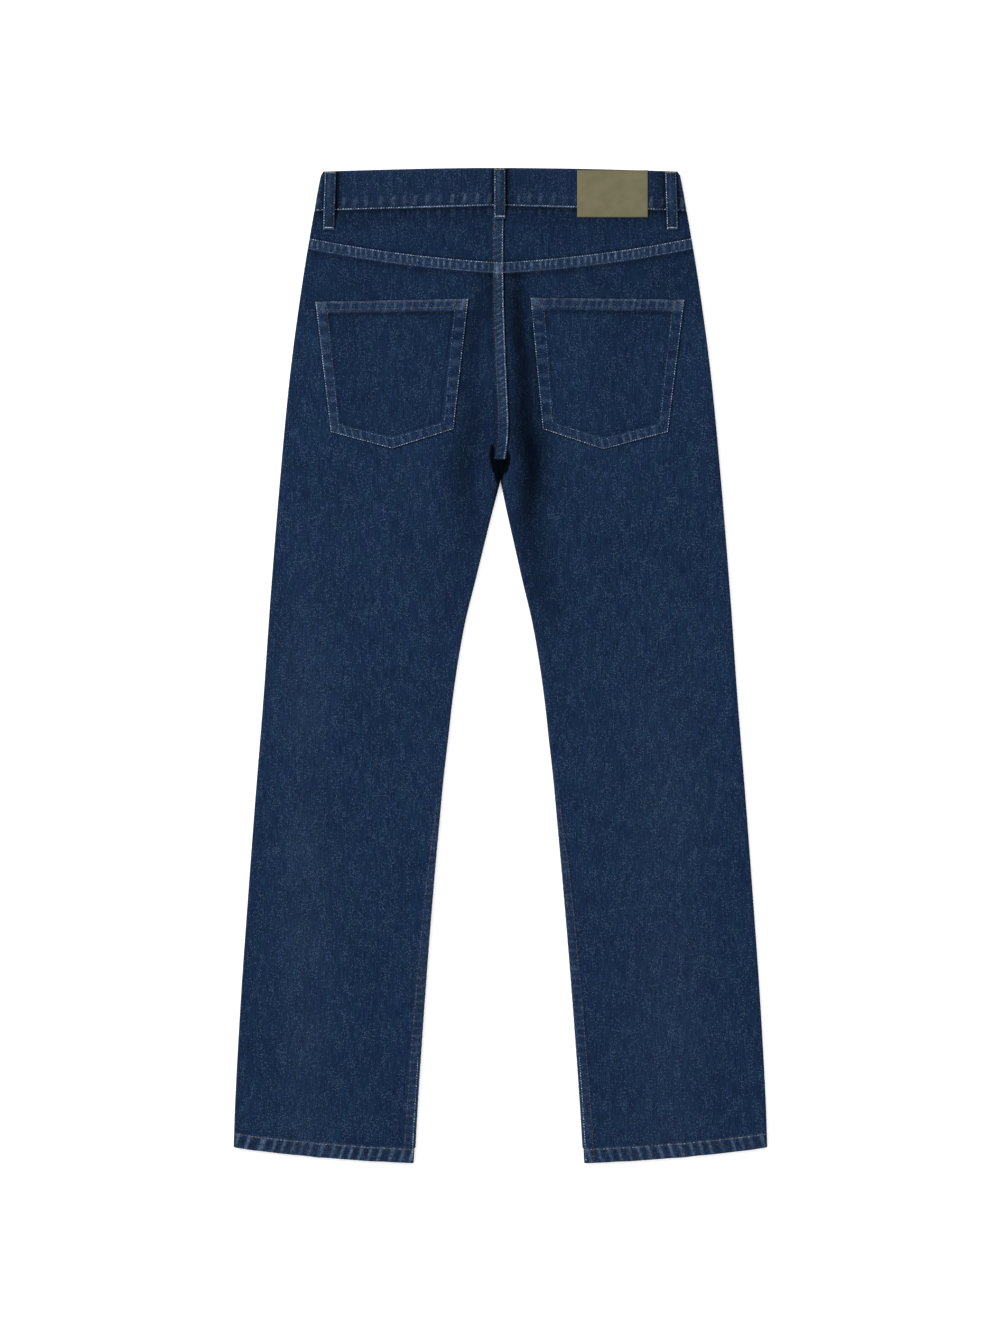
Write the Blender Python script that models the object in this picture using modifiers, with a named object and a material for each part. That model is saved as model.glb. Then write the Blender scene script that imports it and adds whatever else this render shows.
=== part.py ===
"""Straight leg jeans laid flat with the back up, as the cut pieces that are sewn together.

Metres. +Y runs from the hems to the waist, +Z is up, and the front panels rest on z = 0.
The wearer's left is at -X. A place beside the centre line is also written as u, its
distance from that line towards the piece's own side.
"""

import math

import bpy

# Cloth and seams
CLOTH = 0.0011  # one ply of denim
BAND_CLOTH = 0.0020  # waistband, two plies and the turned edges between them
LOOP_CLOTH = 0.0018  # belt loop, folded strap
PATCH_CLOTH = 0.0012
HEM_CLOTH = 0.0022  # hem with its turned cloth
FELL_RISE = 0.0009  # what a felled seam or a turned edge adds on the outer face
GAP = 0.0003  # clear space between sewn pieces
STEP = 0.0004  # half the run of the slope beside a raised seam
SEAT_FELL = 0.0112  # width of the seat seam's and the yoke seams' fell
HEM_DEEP = 0.0140
UNDER_WRAP = 0.0120  # back panel's strip on the underside, out to the side seam

# Heights of the laid garment
EDGE_HIGH = 0.0052  # bare upper layer at a fold
HEM_HIGH = 0.0006  # extra height at the hems
ROLL = 0.0240  # how far in from a fold the upper layer still stands up
FOLD_STEPS = 6  # facets round the half turn at a fold

# Outline seen from above: height along the garment, half width
OUTER_FOLD = (
    (-0.532, 0.2864),
    (-0.465, 0.2841),
    (-0.358, 0.2782),
    (-0.251, 0.2707),
    (-0.144, 0.2627),
    (-0.037, 0.2541),
    (0.070, 0.2466),
    (0.177, 0.2381),
    (0.284, 0.2284),
    (0.348, 0.2210),
    (0.423, 0.2103),
    (0.490, 0.1990),
    (0.532, 0.1915),
)
INNER_FOLD = (
    (-0.532, 0.0911),
    (-0.465, 0.0872),
    (-0.358, 0.0797),
    (-0.251, 0.0712),
    (-0.144, 0.0615),
    (-0.080, 0.0540),
    (-0.037, 0.0492),
    (0.006, 0.0431),
    (0.049, 0.0353),
    (0.091, 0.0251),
    (0.134, 0.0150),
    (0.177, 0.0048),
    (0.197, 0.00015),
)
# Right edge of the seat seam: height along the garment, x
SEAT_SEAM = (
    (0.197, -0.0001),
    (0.208, 0.0016),
    (0.220, 0.0042),
    (0.242, 0.0060),
    (0.284, 0.0069),
    (0.350, 0.0062),
    (0.418, 0.0042),
    (0.450, 0.0035),
    (0.493, 0.0034),
)
# Inseam's fell on the back panels, which turns under above the knee: height along the
# garment, distance of its inner row from the fold
INSEAM_FELL = (
    (-0.532, 0.0123),
    (-0.430, 0.0112),
    (-0.300, 0.0098),
    (-0.214, 0.0080),
    (-0.169, 0.0056),
    (-0.085, 0.0050),
)
INSEAM_FADE = 0.0900  # length over which the fell comes up out of the fold
# Pit where the four legs' seams meet: height along the garment, half width
PIT = (
    (0.1970, 0.0010),
    (0.2030, 0.0034),
    (0.2095, 0.0062),
    (0.2150, 0.0085),
    (0.2195, 0.0100),
)
# Section of the pit from its middle to its rim: share of the way out, share of the rise
PIT_SECTION = (
    (0.00, 0.00),
    (0.06, 0.00),
    (0.50, 0.15),
    (0.75, 0.75),
    (1.00, 1.00),
)
# How far the upper layer sinks between the folds: height along the garment, depth
SAG = (
    (-0.532, 0.0002),
    (-0.500, 0.0006),
    (-0.440, 0.0012),
    (0.000, 0.0013),
    (0.180, 0.0008),
    (0.350, 0.0005),
    (0.450, 0.0002),
    (0.532, 0.0000),
)
# Broad folds of the upper layer: x and y at both ends, half width, rise
BROAD_FOLDS = (
    (0.021, 0.418, 0.030, 0.300, 0.011, -0.0005),
    (0.030, 0.300, 0.037, 0.150, 0.014, -0.0009),
    (-0.017, 0.412, -0.020, 0.330, 0.010, -0.0004),
    (-0.026, 0.260, -0.031, 0.150, 0.013, -0.0006),
    (-0.205, 0.190, -0.222, -0.420, 0.022, 0.0006),
    (0.180, 0.120, 0.200, -0.300, 0.026, 0.0005),
)
# What stands up under the upper layer, the fly and the front loops: x, y, width across,
# even length, length with the slopes, rise
STANDING = (
    (-0.012, 0.500, 0.062, 0.036, 0.170, 0.0030),
    (-0.076, 0.490, 0.034, 0.045, 0.100, 0.0008),
    (0.076, 0.490, 0.034, 0.045, 0.100, 0.0008),
)

# Waist
BACK_TOP = 0.5323
BAND_DEEP = 0.0396
FRONT_DIP = 0.0170  # the front waist is cut lower at the centre
FORK = 0.197  # where the legs part
FORK_REACH = 0.045
FORK_RADIUS = 0.0070
FORK_SWELL = 0.0015
FORK_CLEAR = 0.0008  # the front panels' edges stay lower near the fork
FORK_RUN = 0.0120
PIT_TOP = 0.2200  # below it the seat seam has dropped into the pit
PIT_X = 0.0008
PIT_FLOOR = 0.0028
FORK_ROWS = (0.2360, 0.2295, 0.2225, 0.2195, 0.2150, 0.2095, 0.2030, FORK, 0.1905)
INNER_RADIUS = 0.0027
END_RUN = 0.0005  # straight end of a rolled edge

# Fly and button at the centre front, left over right
FLY_EDGE = 0.003
UNDERLAP = 0.035
FLY_BOTTOM = 0.322
BUTTON_X = -0.010
BUTTON_Y = 0.4905
BUTTON_RADIUS = 0.0085
BUTTON_HIGH = 0.0020
LAP_RAMP = 0.027

# Front pocket openings, a quarter of an ellipse at the top of each side seam
SCOOP_WIDE = 0.085
SCOOP_DEEP = 0.070
FACING_REACH = 1.14  # facing's reach under the front panel, as a share of the scoop

# Back pockets: u and y of the inner and outer corners and of the point
POCKET_INNER_TOP = (0.0326, 0.3930)
POCKET_OUTER_TOP = (0.1968, 0.3904)
POCKET_INNER_LOW = (0.0473, 0.2534)
POCKET_OUTER_LOW = (0.1796, 0.2502)
POCKET_POINT = (0.1132, 0.2321)
POCKET_HEM = 0.0118
POCKET_TURN = 0.0105

# Belt loops and patch
LOOP_WIDE = 0.0123
LOOP_INSET = 0.0005  # from the waistband's top to a loop's end
CENTRE_LOOP_X = -0.0008
CENTRE_LOOP_LOW = 0.4778
SIDE_LOOP_TOP_X = 0.1820
SIDE_LOOP_LOW_X = 0.1840
SIDE_LOOP_LOW = 0.4660
FRONT_LOOP_X = 0.070
FRONT_LOOP_LONG = 0.0590
PATCH_LEFT = 0.0820
PATCH_RIGHT = 0.1577
PATCH_TOP = 0.5300
PATCH_LOW = 0.4797


# Where the points of each piece lie
ACROSS = (0.10, 0.23, 0.38, 0.54, 0.70, 0.83, 0.93)  # shares of a back panel's bare width
FRONT_ACROSS = (0.008, 0.014, 0.022, 0.032, 0.044, 0.061, 0.079)  # u at the waist
FLY_ROWS = (0.365, FLY_BOTTOM + 0.020, FLY_BOTTOM + 0.010, FLY_BOTTOM, FLY_BOTTOM - 0.030)
SCOOP_ANGLES = (0.0, 12.0, 24.0, 36.0, 50.0, 65.0, 80.0, 90.0)
FACING_REACHES = (FACING_REACH, 1.06, 0.99, 0.92, 0.85, 0.50)
YOKE_ROWS = 6
LOOP_ROWS = 10
LOOP_BOW = 0.0007
PATCH_CORNER = 0.0008
BAND_CORNER = 0.0026
BAND_SHARES = (0.0, 0.33, 0.67, 1.0)
BAND_FRONT_RIGHT = (
    -0.035, -0.021, -0.008, 0.003, 0.0055, 0.012, 0.020, 0.032, 0.044, 0.061, 0.079, 0.096, 0.130, 0.165
)
BAND_BACK = tuple(0.168 - 0.021 * k for k in range(17))
BAND_FRONT_LEFT = (0.165, 0.130, 0.096, 0.079, 0.061, 0.044, 0.034, 0.021, 0.008, -0.003)


def ease(t):
    """0 below 0, 1 above 1, and a smooth way between."""
    t = min(max(t, 0.0), 1.0)
    return t * t * (3.0 - 2.0 * t)


def plateau(distance, flat, end):
    """1 up to the distance flat, easing to 0 at the distance end."""
    return 1.0 - ease((abs(distance) - flat) / (end - flat))


def bell(distance, width):
    return math.exp(-((distance / width) ** 2))


def mix(a, b, t):
    return a + (b - a) * t


def read(table, place):
    """The second column of a table at a place in its first, on a smooth curve through the rows."""
    last = len(table) - 2
    k = 0
    while k < last and place > table[k + 1][0]:
        k += 1
    low, high = table[k], table[k + 1]
    before = table[k - 1] if k else low
    after = table[k + 2] if k < last else high
    span = high[0] - low[0]
    slope_low = (high[1] - before[1]) / (high[0] - before[0]) * span
    slope_high = (after[1] - low[1]) / (after[0] - low[0]) * span
    t = min(max((place - low[0]) / span, 0.0), 1.0)
    rise = high[1] - low[1]
    return (
        low[1]
        + slope_low * t
        + (3.0 * rise - 2.0 * slope_low - slope_high) * t * t
        + (slope_low + slope_high - 2.0 * rise) * t * t * t
    )


# ---------------------------------------------------------------- cut lines


def hem_line(u):
    beyond = abs(u) - 0.0926
    return -0.5318 + 0.0325 * beyond + 0.275 * beyond * beyond


def yoke_seam(u):
    """Top edge of the seat panels, where they lap over the yoke."""
    return 0.4314 + 0.0554 * abs(u) + 0.352 * u * u


def back_waist_top(u):
    return BACK_TOP - 0.12 * u * u


def back_waist_seam(u):
    """Lower edge of the waistband at the back."""
    return BACK_TOP - BAND_DEEP - 0.0287 * (math.hypot(u, 0.02) - 0.02)


SIDE_WAIST = back_waist_seam(0.199)


def front_waist_seam(u):
    """Lower edge of the waistband at the front."""
    return SIDE_WAIST - FRONT_DIP * (1.0 - min(1.0, (u / 0.199) ** 2))


def side_seam(y):
    """u of the gap between a front panel and the back panel's strip on the underside."""
    return read(OUTER_FOLD, y) - 0.5 * EDGE_HIGH - UNDER_WRAP


# ---------------------------------------------------------------- heights


def broad_folds(x, y):
    rise = 0.0
    for x0, y0, x1, y1, half_width, height in BROAD_FOLDS:
        along = (y - y0) / (y1 - y0)
        beside = x - mix(x0, x1, min(max(along, 0.0), 1.0))
        ends = ease(along * 4.0 + 0.5) * ease((1.0 - along) * 4.0 + 0.5)
        rise += height * bell(beside, half_width) * ends
    return rise


def upper_face(x, y):
    """Height of the upper layer's bare outer face."""
    u = abs(x)
    from_outer = max(read(OUTER_FOLD, y) - u, 0.0)
    if y < FORK:
        from_inner = max(u - read(INNER_FOLD, y), 0.0)
    else:
        from_inner = math.hypot(u, y - FORK)
    sunk = (1.0 - bell(from_outer, ROLL)) * (1.0 - bell(from_inner, ROLL))
    lifted = FORK_SWELL * bell(u - 0.016, 0.020) * bell(y - 0.207, 0.035)
    for place_x, place_y, wide, even, end, rise in STANDING:
        lifted += rise * bell(x - place_x, wide) * plateau(y - place_y, even, end)
    folds = broad_folds(x, y) * ease(from_outer / ROLL)
    return EDGE_HIGH - sunk * read(SAG, y) + lifted + folds


def lower_face(x, y):
    """Height of the lower layer's outer face, off the floor only over the button and the front loops."""
    button = (BUTTON_HIGH + GAP) * plateau(x - BUTTON_X, 0.011, 0.038) * plateau(y - BUTTON_Y, 0.018, 0.060)
    loops = (LOOP_CLOTH + GAP) * plateau(abs(x) - FRONT_LOOP_X, 0.009, 0.026) * plateau(y - 0.483, 0.036, 0.060)
    return max(button, loops)


def lapped_face(x, y):
    """Outer face of the right front where it goes under the left one, out to the end of the ramp."""
    near_band = ease((y - 0.440) / 0.026)
    ply = mix(CLOTH, BAND_CLOTH, near_band)
    in_fly = ease((y - (FLY_BOTTOM - 0.030)) / 0.028)
    lap = (1.0 - ease((x - FLY_EDGE - 0.002) / LAP_RAMP)) * in_fly
    return lower_face(x, y) + (ply + GAP) * lap


def waist_cover(x, y):
    """Outer face of the waistband at the back, easing down to the yoke's below the band.

    The seat seam's fell lifts the yoke as much as the band does.
    """
    on_band = ease((y - back_waist_seam(x) + 0.009) / 0.009)
    on_fell = plateau(x - read(SEAT_SEAM, y) + 0.5 * SEAT_FELL, 0.5 * SEAT_FELL + STEP, SEAT_FELL)
    return upper_face(x, y) + max((BAND_CLOTH - CLOTH) * on_band, FELL_RISE * on_fell)


# ---------------------------------------------------------------- making pieces

jeans = bpy.data.collections.new("straight_leg_jeans")


def clear_scene():
    for old in list(bpy.data.objects):
        bpy.data.objects.remove(old, do_unlink=True)
    bpy.context.scene.collection.children.link(jeans)


def material(name, colour, roughness, metallic):
    made = bpy.data.materials.new(name)
    made.use_nodes = True
    shader = made.node_tree.nodes["Principled BSDF"]
    shader.inputs["Base Color"].default_value = (*colour, 1.0)
    shader.inputs["Roughness"].default_value = roughness
    shader.inputs["Metallic"].default_value = metallic
    return made


def wall(name, rows, thickness, finish, outward, mirrored):
    """A cloth wall on a grid of points, each row a list of (x, y, z), with a thickness for each point.

    The grid is the outer face, or with outward the inner one. Rows run down the garment and
    columns away from the centre line, so a piece at -X is mirrored.
    """
    across = len(rows[0])
    points = [point for row in rows for point in row]
    faces = []
    for r in range(len(rows) - 1):
        for c in range(across - 1):
            corner = r * across + c
            face = (corner, corner + across, corner + across + 1, corner + 1)
            faces.append(face[::-1] if mirrored else face)
    mesh = bpy.data.meshes.new(name)
    mesh.from_pydata(points, [], faces)
    mesh.materials.append(finish)
    mesh.shade_smooth()
    mesh.set_sharp_from_angle(angle=math.radians(40.0))
    piece = bpy.data.objects.new(name, mesh)
    jeans.objects.link(piece)

    thickest = max(max(row) for row in thickness)
    group = piece.vertex_groups.new(name="thickness")
    flat_list = [value for row in thickness for value in row]
    for index, value in enumerate(flat_list):
        group.add([index], value / thickest, "REPLACE")
    solid = piece.modifiers.new("Cloth", "SOLIDIFY")
    solid.thickness = thickest
    solid.offset = 1.0 if outward else -1.0
    solid.vertex_group = group.name
    solid.use_rim = True
    return piece


def rolled_edge(edge, radius, flat, end, turn):
    """(u, z) of a panel's inner edge: its end, and then the roll up to the flat level.

    turn is 1 where the edge rolls over to the seam at half height and 0 where it stays flat.
    """
    angle = 0.5 * math.pi * turn
    back_up = math.copysign(END_RUN, flat - end)
    end_z = mix(flat, end, turn)
    first_u = edge + END_RUN * math.cos(angle)
    first_z = end_z + back_up * math.sin(angle)
    places = [(edge, end_z)]
    for degrees in (90.0, 60.0, 30.0, 0.0):
        theta = math.radians(degrees)
        u = mix(edge + radius, first_u, math.sin(theta))
        places.append((u, mix(first_z, flat, math.cos(theta))))
    return places


def pit_edge(edge, reach, flat):
    """(u, z) from the seam on the floor of the pit up to the flat level."""
    return [(edge + share * reach, mix(PIT_FLOOR, flat, rise)) for share, rise in PIT_SECTION]


def stations(top, low, middle, finest, coarsest, growth):
    """Heights from top down to low, both left out, growing apart on both sides of the middle ones."""
    above = []
    step = finest
    place = middle[0] + step
    while place < top - 0.5 * step:
        above.append(place)
        step = min(step * growth, coarsest)
        place += step
    below = []
    step = finest
    place = middle[-1] - step
    while place > low + 0.5 * step:
        below.append(place)
        step = min(step * growth, coarsest * 1.5)
        place -= step
    return above[::-1] + list(middle) + below


# ---------------------------------------------------------------- back panels and yokes

HEM_INNER = hem_line(read(INNER_FOLD, -0.5318))


def row_height(top_line, base, u):
    """y at u on the row whose inner end is about at the height base.

    The rows turn gradually from the line of the panel's top edge to that of its hem.
    """
    top = top_line(0.0)
    down = (top - base) / (top - HEM_INNER)
    return base + (1.0 - down) * (top_line(u) - top) + down * (hem_line(u) - HEM_INNER)


def back_inner_edge(side, y):
    """u of a back panel's inner edge: the seat seam, then the inner fold."""
    if y < FORK:
        return read(INNER_FOLD, y)
    seam = read(SEAT_SEAM, y)
    return seam + GAP if side > 0 else -seam


def outer_fold(line, extra, dip):
    """(u, y, z) round the outer fold and along the strip on the underside, on one row.

    dip is how far the row follows the lower front waist, 1 at the waistband.
    """
    y = line(0.2)
    for _ in range(4):
        y = line(read(OUTER_FOLD, y))
    fold = read(OUTER_FOLD, y)
    radius = 0.5 * (EDGE_HIGH + extra)
    places = []
    for k in range(FOLD_STEPS + 1):
        angle = math.radians(90.0 - 180.0 * k / FOLD_STEPS)
        places.append((fold - radius + radius * math.cos(angle), radius + radius * math.sin(angle)))
    places.append((side_seam(y), 0.0))
    for k, (u, z) in enumerate(places):
        drop = dip * (SIDE_WAIST - front_waist_seam(u)) if k >= FOLD_STEPS // 2 else 0.0
        places[k] = (u, y - drop, z)
    return places


def upper_row(side, line, edge, radius, turn, in_pit, fell, fell_rise, extra, ply, dip=0.0):
    """One row of the upper layer, from its inner edge to the strip on the underside.

    fell and fell_rise are the raised seam beside the inner edge, extra lifts the whole row.
    """
    y_edge = line(edge)
    flat = upper_face(side * (edge + radius), y_edge) + extra + fell_rise
    if in_pit:
        inner = pit_edge(edge, radius, flat)
    else:
        inner = rolled_edge(edge, radius, flat, INNER_RADIUS + 0.5 * GAP, turn)
    points = []
    walls = []
    for u, z in inner:
        points.append((side * u, line(u), z))
        walls.append(ply + fell_rise)
    outer = outer_fold(line, extra, dip)
    first_bare = edge + fell + STEP
    places = [(edge + fell - STEP, fell_rise), (first_bare, 0.0)]
    places += [(mix(first_bare, outer[0][0], share), 0.0) for share in ACROSS]
    for u, rise in places:
        y = line(u)
        points.append((side * u, y, upper_face(side * u, y) + extra + rise))
        walls.append(ply + rise)
    points += [(side * u, y, z) for u, y, z in outer]
    walls += [ply] * len(outer)
    return points, walls


def back_panel(side, name, finish):
    top = yoke_seam(0.0)
    hem_top = HEM_INNER + HEM_DEEP
    bases = [top, top - SEAT_FELL + STEP, top - SEAT_FELL - STEP]
    bases += stations(bases[-1], hem_top + STEP, FORK_ROWS, 0.0090, 0.032, 1.35)
    bases += [hem_top + STEP, hem_top - STEP, HEM_INNER]
    rows = []
    thickness = []
    for index, base in enumerate(bases):
        extra, ply = 0.0, CLOTH
        if index < 2:
            extra, ply = FELL_RISE, CLOTH + FELL_RISE
        if index >= len(bases) - 2:
            extra, ply = HEM_HIGH, HEM_CLOTH

        def line(u, base=base):
            return row_height(yoke_seam, base, u)

        y_edge = line(back_inner_edge(side, base))
        edge = back_inner_edge(side, y_edge)
        in_pit = FORK <= base < PIT_TOP
        turn = 1.0 if base < FORK else 0.0
        radius = mix(INNER_RADIUS, FORK_RADIUS, bell(y_edge - FORK, FORK_REACH))
        if in_pit:
            radius = read(PIT, base) + side * PIT_X - edge
        if base > PIT_TOP:
            fell, fell_rise = SEAT_FELL, FELL_RISE if side < 0 else 0.0
        else:
            fell = max(read(INSEAM_FELL, y_edge), radius + 3.0 * STEP)
            fell_rise = FELL_RISE * ease((INSEAM_FELL[-1][0] - y_edge) / INSEAM_FADE)
        if ply > CLOTH:
            fell_rise = 0.0
        points, walls = upper_row(side, line, edge, radius, turn, in_pit, fell, fell_rise, extra, ply)
        rows.append(points)
        thickness.append(walls)
    return wall(name, rows, thickness, finish, False, side < 0)


def back_yoke(side, name, finish):
    rows = []
    thickness = []
    for k in range(YOKE_ROWS):
        share = k / (YOKE_ROWS - 1)

        def line(u, share=share):
            return mix(back_waist_seam(u) - GAP, yoke_seam(u) + GAP, share)

        edge = back_inner_edge(side, line(0.0))
        fell_rise = FELL_RISE if side < 0 else 0.0
        points, walls = upper_row(
            side, line, edge, INNER_RADIUS, 0.0, False, SEAT_FELL, fell_rise, 0.0, CLOTH, dip=1.0 - share
        )
        rows.append(points)
        thickness.append(walls)
    return wall(name, rows, thickness, finish, False, side < 0)


# ---------------------------------------------------------------- front panels and pocket facings


def front_inner_edge(side, y):
    """u of a front panel's inner edge: the fly and the seam below it, then the inner fold."""
    if y < FORK:
        return read(INNER_FOLD, y)
    seam = mix(-0.0001, FLY_EDGE, ease((y - FORK) / 0.06))
    if side < 0:
        return -seam
    return seam + GAP - (UNDERLAP + FLY_EDGE) * ease((y - FLY_BOTTOM) / 0.020)


def scoop_point(angle, reach):
    """(u, y) on the pocket opening's curve: 0 degrees at the waistband, 90 at the side seam."""
    theta = math.radians(angle)
    y = SIDE_WAIST - SCOOP_DEEP * reach * math.sin(theta)
    for _ in range(4):
        u = side_seam(y) - GAP - SCOOP_WIDE * reach * math.cos(theta)
        y = front_waist_seam(u) - GAP - SCOOP_DEEP * reach * math.sin(theta)
    return u, y


def front_rows():
    """(base, outer end) of each row of a front panel; the end is None below the pocket opening."""
    rows = []
    for angle in SCOOP_ANGLES:
        u, y = scoop_point(angle, 1.0)
        base = y
        for _ in range(12):
            base += y - row_height(front_waist_seam, base, u)
        rows.append((base, u))
    hem_top = HEM_INNER + HEM_DEEP
    lower = stations(FLY_ROWS[-1], hem_top + STEP, (FORK, FORK - 0.0065), 0.010, 0.045, 1.5)
    lower += [hem_top + STEP, hem_top - STEP, HEM_INNER]
    return rows + [(base, None) for base in list(FLY_ROWS) + lower]


def front_panel(side, name, finish):
    rows = []
    thickness = []
    face = lapped_face if side > 0 else lower_face
    laid_out = front_rows()
    for index, (base, outer_end) in enumerate(laid_out):
        ply = HEM_CLOTH if index >= len(laid_out) - 2 else CLOTH

        def line(u, base=base):
            return row_height(front_waist_seam, base, u)

        y_edge = line(max(front_inner_edge(side, base), 0.0))
        edge = front_inner_edge(side, y_edge)
        turn = 1.0 if base < FORK else 0.0
        radius = mix(INNER_RADIUS, 0.5 * FORK_RADIUS, bell(y_edge - FORK, FORK_REACH))
        y_side = line(side_seam(base))
        seam = side_seam(y_side) - GAP
        end = seam if outer_end is None else outer_end
        flat = face(side * (edge + radius), y_edge)
        points = []
        meeting = INNER_RADIUS - 0.5 * GAP - FORK_CLEAR * bell(y_edge - FORK, FORK_RUN)
        for u, z in rolled_edge(edge, radius, flat, meeting, turn):
            points.append((side * u, line(u), z))
        start = edge + radius
        first = max(start + 0.0015, FLY_EDGE + 0.0015)
        places = [mix(start, first, 0.35), mix(start, first, 0.70), first]
        scale = (seam - first) / (side_seam(SIDE_WAIST) - FLY_EDGE - 0.0015)
        places += [first + (u - FLY_EDGE - 0.0015) * scale for u in FRONT_ACROSS]
        places += [mix(places[-1], end, 0.5), end]
        for u in places:
            points.append((side * u, line(u), face(side * u, line(u))))
        rows.append(points)
        thickness.append([ply] * len(points))
    return wall(name, rows, thickness, finish, False, side > 0)


def pocket_facing(side, name, finish):
    """Cloth seen inside the pocket opening; it goes under the front panel past the curve."""
    rows = []
    corner_reach = 0.12
    for angle in SCOOP_ANGLES:
        theta = math.radians(angle)
        points = []
        for reach in FACING_REACHES:
            u, y = scoop_point(angle, reach)
            lap = 1.0 - ease((0.99 - reach) / 0.14)
            z = lower_face(side * u, y) + (CLOTH + GAP) * lap
            points.append((side * u, y, z))
        along_waist = max(0.0, 1.0 - math.tan(min(theta, 0.25 * math.pi)))
        along_side = max(0.0, 1.0 - math.tan(min(0.5 * math.pi - theta, 0.25 * math.pi)))
        y = SIDE_WAIST - GAP - SCOOP_DEEP * corner_reach * along_side
        u = side_seam(y) - GAP - SCOOP_WIDE * corner_reach * along_waist
        y += front_waist_seam(u) - SIDE_WAIST
        points.append((side * u, y, 0.0))
        rows.append(points)
    thickness = [[CLOTH] * len(points) for points in rows]
    return wall(name, rows, thickness, finish, False, side > 0)


# ---------------------------------------------------------------- waistband


def band_point(x, share):
    """Point of the waistband's outer face on the back, share of its height above the lower edge."""
    y = mix(back_waist_seam(x), back_waist_top(x), share)
    return x, y, upper_face(x, y) + BAND_CLOTH - CLOTH


def band_front_point(side, u, share):
    deep = BAND_DEEP + (back_waist_top(0.19) - SIDE_WAIST - BAND_DEEP) * (u / 0.199) ** 2
    y = front_waist_seam(u) + share * deep
    face = lapped_face if side > 0 else lower_face
    return side * u, y, face(side * u, y)


def band_fold(side, angle, share):
    """Point round the side fold: 90 degrees on the back, -90 on the front."""
    y = mix(SIDE_WAIST, back_waist_top(0.19), share)
    fold = read(OUTER_FOLD, y)
    radius = 0.5 * (EDGE_HIGH - CLOTH + BAND_CLOTH)
    theta = math.radians(angle)
    y -= BAND_CORNER * share ** 3 * math.cos(theta)
    return side * (fold - radius + radius * math.cos(theta)), y, radius + radius * math.sin(theta)


def waistband(name, finish):
    turn = [90.0 - 180.0 * k / FOLD_STEPS for k in range(FOLD_STEPS + 1)]
    rows = []
    for u in BAND_FRONT_RIGHT:
        rows.append([band_front_point(1, u, share) for share in BAND_SHARES])
    for angle in reversed(turn):
        rows.append([band_fold(1, angle, share) for share in BAND_SHARES])
    for x in BAND_BACK:
        rows.append([band_point(x, share) for share in BAND_SHARES])
    for angle in turn:
        rows.append([band_fold(-1, angle, share) for share in BAND_SHARES])
    for u in BAND_FRONT_LEFT:
        rows.append([band_front_point(-1, u, share) for share in BAND_SHARES])
    thickness = [[BAND_CLOTH] * len(BAND_SHARES) for _ in rows]
    return wall(name, rows, thickness, finish, False, True)


# ---------------------------------------------------------------- pieces laid on the panels


def back_pocket(side, name, finish):
    """Patch pocket, thicker in its hem and along its turned edges."""
    rows = []
    thickness = []
    deep = POCKET_INNER_TOP[1] - POCKET_INNER_LOW[1]
    downs = [0.0, (POCKET_HEM - STEP) / deep, (POCKET_HEM + STEP) / deep]
    downs += [0.22, 0.40, 0.60, 0.80]
    turn_down = 1.0 - POCKET_TURN / deep
    downs += [turn_down - STEP / deep, turn_down + STEP / deep, 1.0]
    wide = POCKET_OUTER_TOP[0] - POCKET_INNER_TOP[0]
    turn = POCKET_TURN / wide
    step = STEP / wide
    point_share = (POCKET_POINT[0] - POCKET_INNER_LOW[0]) / (POCKET_OUTER_LOW[0] - POCKET_INNER_LOW[0])
    shares = [0.0, turn - step, turn + step, 0.27, point_share, 0.73, 1.0 - turn - step, 1.0 - turn + step, 1.0]
    for row_index, down in enumerate(downs):
        points = []
        walls = []
        for column, share in enumerate(shares):
            top = mix(POCKET_INNER_TOP[1], POCKET_OUTER_TOP[1], share)
            if share < point_share:
                low = mix(POCKET_INNER_LOW[1], POCKET_POINT[1], share / point_share)
            else:
                low = mix(POCKET_POINT[1], POCKET_OUTER_LOW[1], (share - point_share) / (1.0 - point_share))
            y = mix(top, low, down)
            inner = mix(POCKET_INNER_TOP[0], POCKET_INNER_LOW[0], down)
            outer = mix(POCKET_OUTER_TOP[0], POCKET_OUTER_LOW[0], down)
            x = side * mix(inner, outer, share)
            points.append((x, y, upper_face(x, y) + GAP))
            turned = row_index < 2 or row_index >= len(downs) - 2 or column < 2 or column >= len(shares) - 2
            walls.append(CLOTH + (FELL_RISE if turned else 0.0))
        rows.append(points)
        thickness.append(walls)
    return wall(name, rows, thickness, finish, True, side < 0)


def belt_loop(name, top, low, cover, outward_up, finish):
    """Folded strap from (x, y) at its top end to its low end, on the given face."""
    rows = []
    for k in range(LOOP_ROWS):
        share = k / (LOOP_ROWS - 1)
        x_middle = mix(top[0], low[0], share)
        y = mix(top[1], low[1], share)
        points = []
        for across in (-0.5, 0.0, 0.5):
            x = x_middle + across * LOOP_WIDE
            z = cover(x, y) + GAP + LOOP_BOW * math.sin(math.pi * share) if outward_up else 0.0
            points.append((x, y, z))
        rows.append(points)
    thickness = [[LOOP_CLOTH] * 3 for _ in rows]
    return wall(name, rows, thickness, finish, outward_up, not outward_up)


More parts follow.
